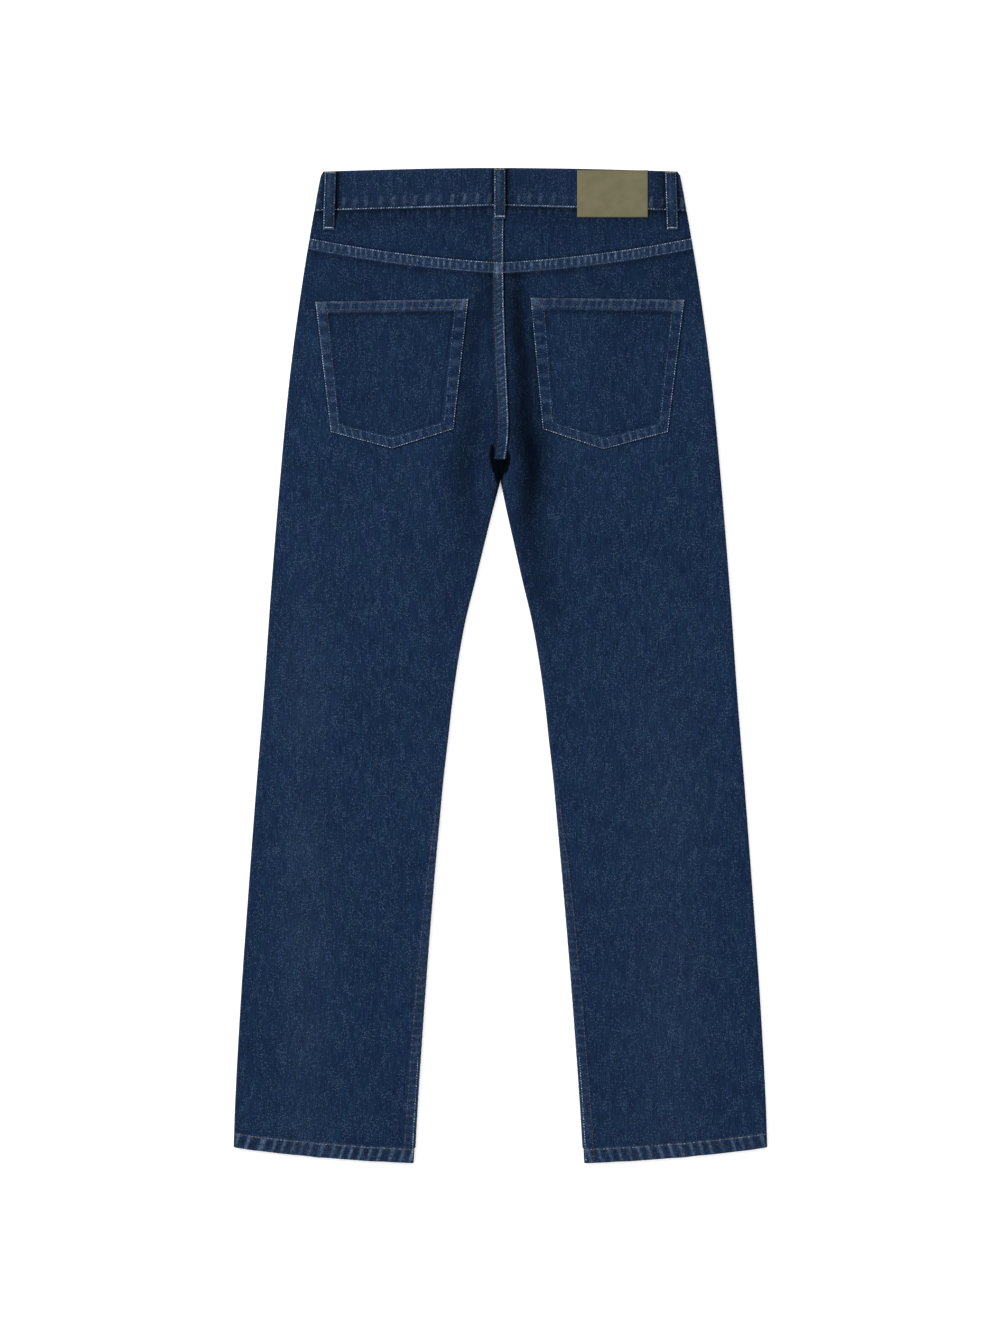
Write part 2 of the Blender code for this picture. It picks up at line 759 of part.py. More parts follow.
def belt_loops(finish):
    ends = ((CENTRE_LOOP_X, BACK_TOP - LOOP_INSET), (CENTRE_LOOP_X, CENTRE_LOOP_LOW))
    belt_loop("belt_loop_back_centre", *ends, waist_cover, True, finish)
    top = back_waist_top(SIDE_LOOP_TOP_X) - LOOP_INSET
    front_top = front_waist_seam(FRONT_LOOP_X) + BAND_DEEP - LOOP_INSET
    for side, which in ((-1, "left"), (1, "right")):
        ends = ((side * SIDE_LOOP_TOP_X, top), (side * SIDE_LOOP_LOW_X, SIDE_LOOP_LOW))
        belt_loop("belt_loop_back_" + which, *ends, waist_cover, True, finish)
        x = side * FRONT_LOOP_X
        ends = ((x, front_top), (x, front_top - FRONT_LOOP_LONG))
        belt_loop("belt_loop_front_" + which, *ends, lower_face, False, finish)


def waist_patch(name, finish):
    """Bare patch over the waistband and the top of the right yoke."""
    downs = (0.0, 0.06, 0.30, 0.55, 0.78, 0.90, 1.0)
    shares = (0.0, 0.05, 0.30, 0.55, 0.80, 0.95, 1.0)
    rows = []
    for down in downs:
        points = []
        for share in shares:
            corner = min(min(share, 1.0 - share) / 0.05, 1.0)
            nip = PATCH_CORNER * (1.0 - corner)
            y = mix(PATCH_TOP - nip, PATCH_LOW + nip, down)
            x = mix(PATCH_LEFT, PATCH_RIGHT, share)
            points.append((x, y, waist_cover(x, y) + GAP))
        rows.append(points)
    thickness = [[PATCH_CLOTH] * len(shares) for _ in rows]
    return wall(name, rows, thickness, finish, True, False)


def waist_button(name, finish):
    """Shank button face down on the floor: a rim round a shallow dish, turned about its own axis."""
    profile = (
        (0.0, BUTTON_HIGH),
        (0.90 * BUTTON_RADIUS, BUTTON_HIGH),
        (BUTTON_RADIUS, 0.62 * BUTTON_HIGH),
        (0.98 * BUTTON_RADIUS, 0.25 * BUTTON_HIGH),
        (0.88 * BUTTON_RADIUS, 0.0),
        (0.76 * BUTTON_RADIUS, 0.0),
        (0.66 * BUTTON_RADIUS, 0.25 * BUTTON_HIGH),
        (0.0, 0.18 * BUTTON_HIGH),
    )
    mesh = bpy.data.meshes.new(name)
    edges = [(k, k + 1) for k in range(len(profile) - 1)]
    mesh.from_pydata([(radius, 0.0, z) for radius, z in profile], edges, [])
    mesh.materials.append(finish)
    button = bpy.data.objects.new(name, mesh)
    jeans.objects.link(button)
    button.location = (BUTTON_X, BUTTON_Y, 0.0)
    turned = button.modifiers.new("Turn", "SCREW")
    turned.steps = 24
    turned.render_steps = 24
    turned.use_merge_vertices = True
    turned.merge_threshold = 0.00001
    turned.use_smooth_shade = True
    return button


clear_scene()
denim = material("denim", (0.012, 0.028, 0.065), 0.85, 0.0)
worn_denim = material("denim_band_and_loops", (0.013, 0.027, 0.060), 0.85, 0.0)
leather = material("bare_patch", (0.155, 0.138, 0.080), 0.70, 0.0)
metal = material("aged_brass", (0.36, 0.24, 0.13), 0.35, 1.0)

for wearer_side, word in ((-1, "left"), (1, "right")):
    back_panel(wearer_side, "back_panel_" + word, denim)
    back_yoke(wearer_side, "back_yoke_" + word, denim)
    front_panel(wearer_side, "front_panel_" + word, denim)
    pocket_facing(wearer_side, "pocket_facing_" + word, denim)
    back_pocket(wearer_side, "back_pocket_" + word, denim)
waistband("waistband", worn_denim)
belt_loops(worn_denim)
waist_patch("waist_patch", leather)
waist_button("waist_button", metal)
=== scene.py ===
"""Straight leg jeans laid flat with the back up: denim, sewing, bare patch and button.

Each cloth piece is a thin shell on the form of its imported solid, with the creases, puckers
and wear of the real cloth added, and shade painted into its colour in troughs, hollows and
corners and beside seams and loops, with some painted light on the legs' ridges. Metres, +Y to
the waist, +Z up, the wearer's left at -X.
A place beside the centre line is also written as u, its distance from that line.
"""

import math

import bpy
import numpy as np
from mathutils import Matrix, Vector
from mathutils.bvhtree import BVHTree


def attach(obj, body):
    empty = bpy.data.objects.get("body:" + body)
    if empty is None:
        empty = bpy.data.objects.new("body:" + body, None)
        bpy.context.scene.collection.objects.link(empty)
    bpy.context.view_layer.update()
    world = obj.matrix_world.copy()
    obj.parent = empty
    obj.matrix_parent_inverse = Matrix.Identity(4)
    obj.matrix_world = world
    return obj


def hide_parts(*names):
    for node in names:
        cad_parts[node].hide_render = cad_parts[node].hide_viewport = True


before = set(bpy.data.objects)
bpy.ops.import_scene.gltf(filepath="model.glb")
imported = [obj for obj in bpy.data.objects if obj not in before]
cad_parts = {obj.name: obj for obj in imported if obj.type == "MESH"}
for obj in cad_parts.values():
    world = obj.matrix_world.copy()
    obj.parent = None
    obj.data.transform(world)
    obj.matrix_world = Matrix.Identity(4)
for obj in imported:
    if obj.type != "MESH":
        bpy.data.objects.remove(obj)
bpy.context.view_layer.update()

# ---------------------------------------------------------------- sizes, as in the solids

CLOTH = 0.0011
BAND_CLOTH = 0.0020
LOOP_CLOTH = 0.0018
PATCH_CLOTH = 0.0012
HEM_CLOTH = 0.0022
FELL_RISE = 0.0009
GAP = 0.0003
STEP = 0.0004
SEAT_FELL = 0.0112
YOKE_FELL = 0.0120
HEM_DEEP = 0.0160
UNDER_WRAP = 0.0120
EDGE_HIGH = 0.0052
HEM_HIGH = 0.0006
ROLL = 0.0240

# Outline seen from above: height along the garment, half width
OUTER_FOLD = (
    (-0.532, 0.2864), (-0.465, 0.2841), (-0.358, 0.2782), (-0.251, 0.2707), (-0.144, 0.2627),
    (-0.037, 0.2541), (0.070, 0.2466), (0.177, 0.2381), (0.284, 0.2284), (0.348, 0.2210),
    (0.423, 0.2103), (0.490, 0.1990), (0.532, 0.1915),
)
INNER_FOLD = (
    (-0.532, 0.0911), (-0.465, 0.0872), (-0.358, 0.0797), (-0.251, 0.0712), (-0.144, 0.0615),
    (-0.080, 0.0540), (-0.037, 0.0492), (0.006, 0.0431), (0.049, 0.0353), (0.091, 0.0251),
    (0.134, 0.0150), (0.177, 0.0048), (0.197, 0.00015),
)
# How far the gap between the legs leans towards the wearer's left: height along the garment, x
GAP_LEAN = (
    (-0.532, 0.0016), (-0.310, 0.0021), (-0.180, 0.0023), (-0.050, 0.0021), (0.070, 0.0018),
    (0.140, 0.0012), (0.165, 0.0009), (0.185, 0.0003), (0.197, 0.0000),
)
# Right edge of the seat seam: height along the garment, x
SEAT_SEAM = (
    (0.197, -0.0001), (0.208, 0.0016), (0.220, 0.0044), (0.238, 0.0072), (0.258, 0.0082),
    (0.284, 0.0074), (0.338, 0.0050), (0.391, 0.0033), (0.425, 0.0029), (0.455, 0.0030),
    (0.493, 0.0033),
)
# Inseam's fell: height along the garment, distance of its inner row from the fold
INSEAM_FELL = (
    (-0.532, 0.0123), (-0.430, 0.0112), (-0.300, 0.0098), (-0.214, 0.0080), (-0.169, 0.0056),
    (-0.085, 0.0050),
)
INSEAM_FADE = 0.0900
# Pit where the four legs' seams meet: height along the garment, half width
PIT = (
    (0.1970, 0.0010), (0.2030, 0.0034), (0.2095, 0.0062), (0.2150, 0.0085), (0.2195, 0.0100),
)
# How far out the pit is painted black as shade, on the left and the right leg: height along the garment, u
DARK_PIT = {
    -1: (
        (0.1930, 0.0040), (0.1985, 0.0058), (0.2038, 0.0068),
        (0.2092, 0.0076), (0.2145, 0.0082), (0.2200, 0.0098),
    ),
    1: (
        (0.1930, 0.0010), (0.1985, 0.0022), (0.2038, 0.0038),
        (0.2092, 0.0055), (0.2145, 0.0078), (0.2200, 0.0100),
    ),
}
# Section of the pit from its middle to its rim: share of the way out, share of the rise
PIT_SECTION = (
    (0.00, 0.00), (0.06, 0.00), (0.50, 0.15), (0.75, 0.75), (1.00, 1.00),
)
# How far the upper layer sinks between the folds: height along the garment, depth
SAG = (
    (-0.532, 0.0002), (-0.500, 0.0006), (-0.440, 0.0012), (0.000, 0.0013), (0.180, 0.0008),
    (0.350, 0.0005), (0.450, 0.0002), (0.532, 0.0000),
)
# Broad folds of the upper layer: x and y at both ends, half width, rise
BROAD_FOLDS = (
    (0.021, 0.418, 0.030, 0.300, 0.011, -0.0005), (0.030, 0.300, 0.037, 0.150, 0.014, -0.0009),
    (-0.017, 0.412, -0.020, 0.330, 0.010, -0.0004), (-0.026, 0.260, -0.031, 0.150, 0.013, -0.0006),
    (-0.205, 0.190, -0.222, -0.420, 0.022, 0.0006), (0.180, 0.120, 0.200, -0.300, 0.026, 0.0005),
)
# Creases that only the cloth has, in the same columns
CREASES = (
    (0.026, 0.400, 0.033, 0.215, 0.009, -0.0006), (0.036, 0.275, 0.050, 0.120, 0.010, -0.0007),
    (0.058, 0.235, 0.066, 0.110, 0.012, 0.0004), (-0.030, 0.240, -0.040, 0.120, 0.009, -0.0005),
    (-0.012, 0.205, -0.060, 0.262, 0.006, -0.0004), (0.016, 0.212, 0.066, 0.268, 0.006, -0.0004),
    (-0.020, 0.178, -0.082, 0.196, 0.007, -0.0004), (0.022, 0.176, 0.090, 0.190, 0.008, -0.0004),
    (-0.150, 0.215, -0.176, 0.020, 0.014, 0.0003), (-0.098, 0.130, -0.128, -0.210, 0.017, -0.0004),
    (-0.165, -0.060, -0.190, -0.330, 0.015, -0.0003), (-0.110, -0.230, -0.132, -0.500, 0.014, 0.0003),
    (-0.238, 0.060, -0.262, -0.260, 0.011, -0.0003), (0.118, 0.150, 0.140, -0.140, 0.018, -0.0004),
    (0.205, 0.200, 0.226, 0.010, 0.012, 0.0003), (0.150, -0.180, 0.172, -0.470, 0.016, -0.0003),
    (0.236, -0.060, 0.256, -0.350, 0.013, -0.0003), (-0.205, 0.455, -0.120, 0.438, 0.006, -0.0003),
    (0.205, 0.452, 0.125, 0.440, 0.006, -0.0003), (-0.060, 0.478, -0.010, 0.470, 0.006, -0.0003),
)
# Hollows on both sides of the seat seam's end, down into the pit: x, y, half width, share of
# their depth
END_HOLLOWS = (
    (
        (-0.0066, 0.2400, 0.0012, 0.00), (-0.0082, 0.2345, 0.0024, 0.85),
        (-0.0087, 0.2270, 0.0030, 1.00), (-0.0083, 0.2190, 0.0030, 1.00),
        (-0.0066, 0.2090, 0.0022, 0.90), (-0.0040, 0.1990, 0.0012, 0.00),
    ),
    (
        (0.0076, 0.2340, 0.0012, 0.00), (0.0080, 0.2290, 0.0018, 0.60), (0.0084, 0.2240, 0.0024, 1.00),
        (0.0082, 0.2180, 0.0026, 1.00), (0.0062, 0.2090, 0.0020, 0.80), (0.0036, 0.1990, 0.0012, 0.00),
    ),
)
END_DEPTH = 0.0018
# Shade painted into the cloth in the troughs beside the seat seam: x, y, half width, share
DARK_TROUGHS = (
    (
        (0.0140, 0.436, 0.0140, 0.24), (0.0165, 0.415, 0.0160, 0.54), (0.0170, 0.394, 0.0140, 0.74),
        (0.0186, 0.369, 0.0135, 0.78), (0.0214, 0.343, 0.0130, 0.79), (0.0240, 0.316, 0.0148, 0.79),
        (0.0250, 0.290, 0.0160, 0.79), (0.0250, 0.271, 0.0180, 0.80), (0.0282, 0.250, 0.0205, 0.86),
        (0.0326, 0.232, 0.0205, 0.89), (0.0342, 0.218, 0.0180, 0.89), (0.0338, 0.204, 0.0170, 0.87),
        (0.0330, 0.186, 0.0180, 0.80), (0.0316, 0.169, 0.0165, 0.73), (0.0310, 0.150, 0.0170, 0.59),
        (0.0350, 0.122, 0.0220, 0.46), (0.0440, 0.086, 0.0280, 0.32), (0.0480, 0.050, 0.0280, 0.20),
        (0.0600, 0.005, 0.0240, 0.00),
    ),
    (
        (-0.0160, 0.425, 0.0100, 0.20), (-0.0200, 0.396, 0.0150, 0.40), (-0.0290, 0.369, 0.0160, 0.44),
        (-0.0300, 0.343, 0.0160, 0.42), (-0.0340, 0.316, 0.0170, 0.38), (-0.0320, 0.289, 0.0200, 0.36),
        (-0.0290, 0.262, 0.0220, 0.42), (-0.0340, 0.242, 0.0230, 0.48), (-0.0390, 0.222, 0.0220, 0.53),
        (-0.0400, 0.204, 0.0210, 0.52), (-0.0380, 0.186, 0.0200, 0.48), (-0.0340, 0.169, 0.0200, 0.40),
        (-0.0320, 0.140, 0.0220, 0.28), (-0.0440, 0.100, 0.0200, 0.20), (-0.0560, 0.050, 0.0200, 0.10),
        (-0.0660, 0.000, 0.0200, 0.00),
    ),
)
# What stands up under the upper layer, the fly and the front loops: x, y, width across,
# even length, length with the slopes, rise
STANDING = (
    (-0.012, 0.500, 0.062, 0.036, 0.170, 0.0030), (-0.076, 0.490, 0.034, 0.045, 0.100, 0.0008),
    (0.076, 0.490, 0.034, 0.045, 0.100, 0.0008),
)

BACK_TOP = 0.5323
# u of the waistband's seam and of its top edge where they meet the side fold
WAIST_HALF = 0.199
TOP_HALF = 0.19
# How the waistband's top edge bends down beside the centre, and how its seam slopes there
TOP_BEND = 0.098
WAIST_SLOPE = 0.0287
WAIST_ROUND = 0.02
# Yoke seam: height at the centre, slope, bend. Hem: u and y of its inner end, slope, bend
YOKE_CURVE = (0.4314, 0.0554, 0.352)
HEM_CURVE = (0.0926, -0.5327, 0.0325, 0.275)
BAND_DEEP = 0.0406
FRONT_DIP = 0.0170
# Fork, where the legs part, and the pit that lies over it
FORK = 0.197
FORK_REACH = 0.045
FORK_RADIUS = 0.0070
FORK_SWELL = 0.0015
FORK_RUN = 0.0065
PIT_TOP = 0.2200
PIT_LOW = 0.1905
SEAT_END = 0.2225
PIT_X = 0.0008
PIT_FLOOR = 0.0028
INNER_RADIUS = 0.0027

FLY_EDGE = 0.003
UNDERLAP = 0.035
FLY_BOTTOM = 0.322
BUTTON_X = -0.010
BUTTON_Y = 0.4905
BUTTON_RADIUS = 0.0085
BUTTON_HIGH = 0.0020
LAP_RAMP = 0.027

SCOOP_WIDE = 0.085
SCOOP_DEEP = 0.070
FACING_REACH = 1.14

# Corners of each pocket as u and y: inner and outer top, inner and outer low, point
POCKETS = {
    -1: ((0.0343, 0.3924), (0.1982, 0.3894), (0.0503, 0.2530), (0.1817, 0.2499), (0.1161, 0.2322)),
    1: ((0.0320, 0.3938), (0.1969, 0.3914), (0.0452, 0.2531), (0.1791, 0.2500), (0.1104, 0.2314)),
}
POCKET_HEM = 0.0125
POCKET_TURN = 0.0118

LOOP_WIDE = 0.0123
LOOP_INSET = 0.0005
LOOP_BOW = 0.0007
CENTRE_LOOP_X = -0.0008
CENTRE_LOOP_LOW = 0.4778
SIDE_LOOP_TOP_X = 0.1820
SIDE_LOOP_LOW_X = 0.1840
SIDE_LOOP_LOW = 0.4660
# Shadow painted beside each loop: x at its top and its low end, low end, share and width on either side
LOOP_SHADES = (
    (-SIDE_LOOP_TOP_X, -SIDE_LOOP_LOW_X, SIDE_LOOP_LOW, 0.28, 0.0035, 0.94, 0.0050),
    (CENTRE_LOOP_X, CENTRE_LOOP_X, CENTRE_LOOP_LOW, 0.66, 0.0042, 0.94, 0.0052),
    (SIDE_LOOP_TOP_X, SIDE_LOOP_LOW_X, SIDE_LOOP_LOW, 0.52, 0.0090, 0.55, 0.0026),
)
FRONT_LOOP_X = 0.070
FRONT_LOOP_LONG = 0.0590
PATCH_LEFT = 0.0820
PATCH_RIGHT = 0.1577
PATCH_TOP = 0.5300
PATCH_LOW = 0.4797
BAND_CORNER = 0.0024
EDGE_TURN = 0.0013
# Mean width of a pocket and length of its sides, which make a row's inset a share of them
POCKET_WIDE = 0.148
POCKET_SIDE = 0.140
# How near a crest the pleats are on the whole, which is level with the cloth
PLEAT_MEAN = 0.4


# ---------------------------------------------------------------- curves and cut lines


def ease(t):
    """0 below 0, 1 above 1, and a smooth way between."""
    t = np.clip(t, 0.0, 1.0)
    return t * t * (3.0 - 2.0 * t)


def plateau(distance, flat, end):
    return 1.0 - ease((np.abs(distance) - flat) / (end - flat))


def bell(distance, width):
    return np.exp(-((distance / width) ** 2))


def mix(a, b, t):
    return a + (b - a) * t


def read(table, place):
    """The second column of a table at places in its first, on a smooth curve through the rows."""
    at, value = np.array(table).T
    place = np.clip(place, at[0], at[-1])
    k = np.clip(np.searchsorted(at, place) - 1, 0, len(at) - 2)
    before = np.maximum(k - 1, 0)
    after = np.minimum(k + 2, len(at) - 1)
    span = at[k + 1] - at[k]
    rise = value[k + 1] - value[k]
    slope_low = (value[k + 1] - value[before]) / (at[k + 1] - at[before]) * span
    slope_high = (value[after] - value[k]) / (at[after] - at[k]) * span
    t = (place - at[k]) / span
    return (
        value[k]
        + slope_low * t
        + (3.0 * rise - 2.0 * slope_low - slope_high) * t ** 2
        + (slope_low + slope_high - 2.0 * rise) * t ** 3
    )


def uneven(place, spacing, seed):
    """Smooth noise from -1 to 1 along a line, with a new value at each spacing."""
    values = np.random.default_rng(seed).uniform(-1.0, 1.0, 997)
    t = np.asarray(place) / spacing + 211.0
    k = np.floor(t).astype(int)
    return mix(values[k % 997], values[(k + 1) % 997], ease(t - k))


def pleats(along, pitch, seed):
    """Cloth drawn up along a seam: (count of pleats, their height, how near a crest is), all uneven."""
    count = along / pitch + 0.42 * uneven(along, 2.1 * pitch, seed)
    height = 0.66 + 0.34 * uneven(along, 1.3 * pitch, seed + 1)
    height = height * (0.8 + 0.3 * uneven(along, 5.5 * pitch, seed + 2))
    return count, height, height * (0.5 + 0.5 * np.cos(2.0 * np.pi * count)) ** 1.7


def hem_line(u):
    start_u, start_y, slope, bend = HEM_CURVE
    beyond = np.abs(u) - start_u
    return start_y + slope * beyond + bend * beyond * beyond + 0.0003 * uneven(u, 0.014, 3)


def yoke_seam(u):
    middle, slope, bend = YOKE_CURVE
    return middle + slope * np.abs(u) + bend * u * u


def back_waist_top(u):
    return BACK_TOP - TOP_BEND * u * u


def back_waist_seam(u):
    return BACK_TOP - BAND_DEEP - WAIST_SLOPE * (np.hypot(u, WAIST_ROUND) - WAIST_ROUND)


def inner_fold(side, y):
    """u of a leg's inner fold; side is the sign of x."""
    return read(INNER_FOLD, y) - side * read(GAP_LEAN, y)


SIDE_WAIST = float(back_waist_seam(WAIST_HALF))
SIDE_TOP = float(back_waist_top(TOP_HALF))
HEM_INNER = float(hem_line(read(INNER_FOLD, -0.5318)))


def front_waist_seam(u):
    return SIDE_WAIST - FRONT_DIP * (1.0 - np.minimum(1.0, (u / WAIST_HALF) ** 2))


def side_seam(y):
    """u of the gap between a front panel and the back panel's strip on the underside."""
    return read(OUTER_FOLD, y) - 0.5 * EDGE_HIGH - UNDER_WRAP


def row_height(top_line, base, u):
    """y at u on the row whose inner end is about at base; rows turn from the top line to the hem's."""
    top = top_line(0.0)
    down = (top - base) / (top - HEM_INNER)
    return base + (1.0 - down) * (top_line(u) - top) + down * (hem_line(u) - HEM_INNER)


# ---------------------------------------------------------------- heights


def folds(table, x, y):
    rise = 0.0
    for x0, y0, x1, y1, half_width, height in table:
        direction = np.array((x1 - x0, y1 - y0))
        along = ((x - x0) * direction[0] + (y - y0) * direction[1]) / (direction @ direction)
        held = np.clip(along, 0.0, 1.0)
        beside = np.hypot(x - x0 - held * direction[0], y - y0 - held * direction[1])
        ends = ease(along * 4.0 + 0.5) * ease((1.0 - along) * 4.0 + 0.5)
        rise = rise + height * bell(beside, half_width) * ends
    return rise


def along_path(path, x, y):
    """How strongly a path is felt at (x, y): its share there, fading over its half width."""
    felt = 0.0
    for (x0, y0, wide0, share0), (x1, y1, wide1, share1) in zip(path, path[1:]):
        t = ((x - x0) * (x1 - x0) + (y - y0) * (y1 - y0)) / ((x1 - x0) ** 2 + (y1 - y0) ** 2)
        t = np.clip(t, 0.0, 1.0)
        beside = np.hypot(x - mix(x0, x1, t), y - mix(y0, y1, t))
        felt = np.maximum(felt, mix(share0, share1, t) * bell(beside, mix(wide0, wide1, t)))
    return felt


def along_paths(paths, x, y):
    """The stronger of two paths' shares at (x, y)."""
    return np.maximum(along_path(paths[0], x, y), along_path(paths[1], x, y))


def upper_face(x, y):
    """Height of the upper layer's outer face, with its folds and creases."""
    u = np.abs(x)
    from_outer = np.maximum(read(OUTER_FOLD, y) - u, 0.0)
    beside_leg = np.maximum(u - inner_fold(np.sign(x), y), 0.0)
    from_inner = np.where(y < FORK, beside_leg, np.hypot(u, y - FORK))
    sunk = (1.0 - bell(from_outer, ROLL)) * (1.0 - bell(from_inner, ROLL))
    lifted = FORK_SWELL * bell(u - 0.016, 0.020) * bell(y - 0.207, 0.035)
    for place_x, place_y, wide, even, end, rise in STANDING:
        lifted = lifted + rise * bell(x - place_x, wide) * plateau(y - place_y, even, end)
    creased = (folds(BROAD_FOLDS, x, y) + folds(CREASES, x, y)) * ease(from_outer / ROLL)
    return EDGE_HIGH - sunk * read(SAG, y) + lifted + creased - END_DEPTH * along_paths(END_HOLLOWS, x, y)


def lower_face(x, y):
    """Height of the lower layer's outer face, off the floor only over the button and the front loops."""
    button = (BUTTON_HIGH + GAP) * plateau(x - BUTTON_X, 0.011, 0.038) * plateau(y - BUTTON_Y, 0.018, 0.060)
    loops = plateau(np.abs(x) - FRONT_LOOP_X, 0.009, 0.026) * plateau(y - 0.483, 0.036, 0.060)
    return np.maximum(button, (LOOP_CLOTH + GAP) * loops)


def lapped_face(x, y):
    """Outer face of the right front where it goes under the left one."""
    ply = mix(CLOTH, BAND_CLOTH, ease((y - 0.440) / 0.026))
    in_fly = ease((y - (FLY_BOTTOM - 0.030)) / 0.028)
    lap = (1.0 - ease((x - FLY_EDGE - 0.002) / LAP_RAMP)) * in_fly
    return lower_face(x, y) + (ply + GAP) * lap


def waist_cover(x, y):
    """Outer face of the waistband at the back, easing down to the yoke's below it."""
    on_band = ease((y - back_waist_seam(x) + 0.009) / 0.009)
    beside_seam = x - read(SEAT_SEAM, y) + 0.5 * SEAT_FELL
    on_fell = plateau(beside_seam, 0.5 * SEAT_FELL + STEP, SEAT_FELL)
    return upper_face(x, y) + np.maximum((BAND_CLOTH - CLOTH) * on_band, FELL_RISE * on_fell)


def loop_shade(x, y):
    """Shadow painted into the cloth beside the three loops at the back."""
    shade = 0.0
    for top_x, low_x, low, left, left_wide, right, right_wide in LOOP_SHADES:
        down = (BACK_TOP - y) / (BACK_TOP - low)
        beside = x - mix(top_x, low_x, down)
        past = np.maximum(np.abs(beside) - 0.5 * LOOP_WIDE, 0.0)
        share = np.where(beside > 0, right * bell(past, right_wide), left * bell(past, left_wide))
        shade = np.maximum(shade, share * (1.0 - ease((down - 0.72) / 0.34)))
    return shade


# ---------------------------------------------------------------- finishes


def linear(hex_code):
    """Linear colour of an sRGB hex value."""
    parts = [int(hex_code[k : k + 2], 16) / 255.0 for k in (1, 3, 5)]
    return (*[p / 12.92 if p <= 0.04045 else ((p + 0.055) / 1.055) ** 2.4 for p in parts], 1.0)


def add(tree, kind, inputs=(), out=0, **settings):
    """Adds a node and gives its output of that name or place, or the node itself for None.

    inputs are values and other nodes' outputs, in the sockets' order or by name or place.
    """
    made = tree.nodes.new(kind)
    for key, value in settings.items():
        setattr(made, key, value)
    for key, value in inputs.items() if isinstance(inputs, dict) else enumerate(inputs):
        if isinstance(value, bpy.types.NodeSocket):
            tree.links.new(value, made.inputs[key])
        else:
            made.inputs[key].default_value = value
    return made if out is None else made.outputs[out]


MATH = "ShaderNodeMath"
RANGE = "ShaderNodeMapRange"
MIX = "ShaderNodeMix"
MAPPING = "ShaderNodeMapping"
NOISE = "ShaderNodeTexNoise"
VORONOI = "ShaderNodeTexVoronoi"
BUMP = "ShaderNodeBump"
PLUS = {"operation": "ADD"}
TIMES = {"operation": "MULTIPLY"}
SMOOTH = {"interpolation_type": "SMOOTHSTEP"}
# A Mix node of colours takes the one below as input 6 and the one above as 7, and gives output 2
COLOURS = {"data_type": "RGBA"}
# Near black that painted shade darkens the cloth towards
SHADE_BLACK = "#01040a"


def new_finish(name, roughness, settings):
    """A material with its Principled shader; settings are constants on that shader's sockets."""
    made = bpy.data.materials.new(name)
    made.use_nodes = True
    shader = made.node_tree.nodes["Principled BSDF"]
    shader.inputs["Roughness"].default_value = roughness
    for key, value in settings.items():
        shader.inputs[key].default_value = value
    return made, made.node_tree, shader


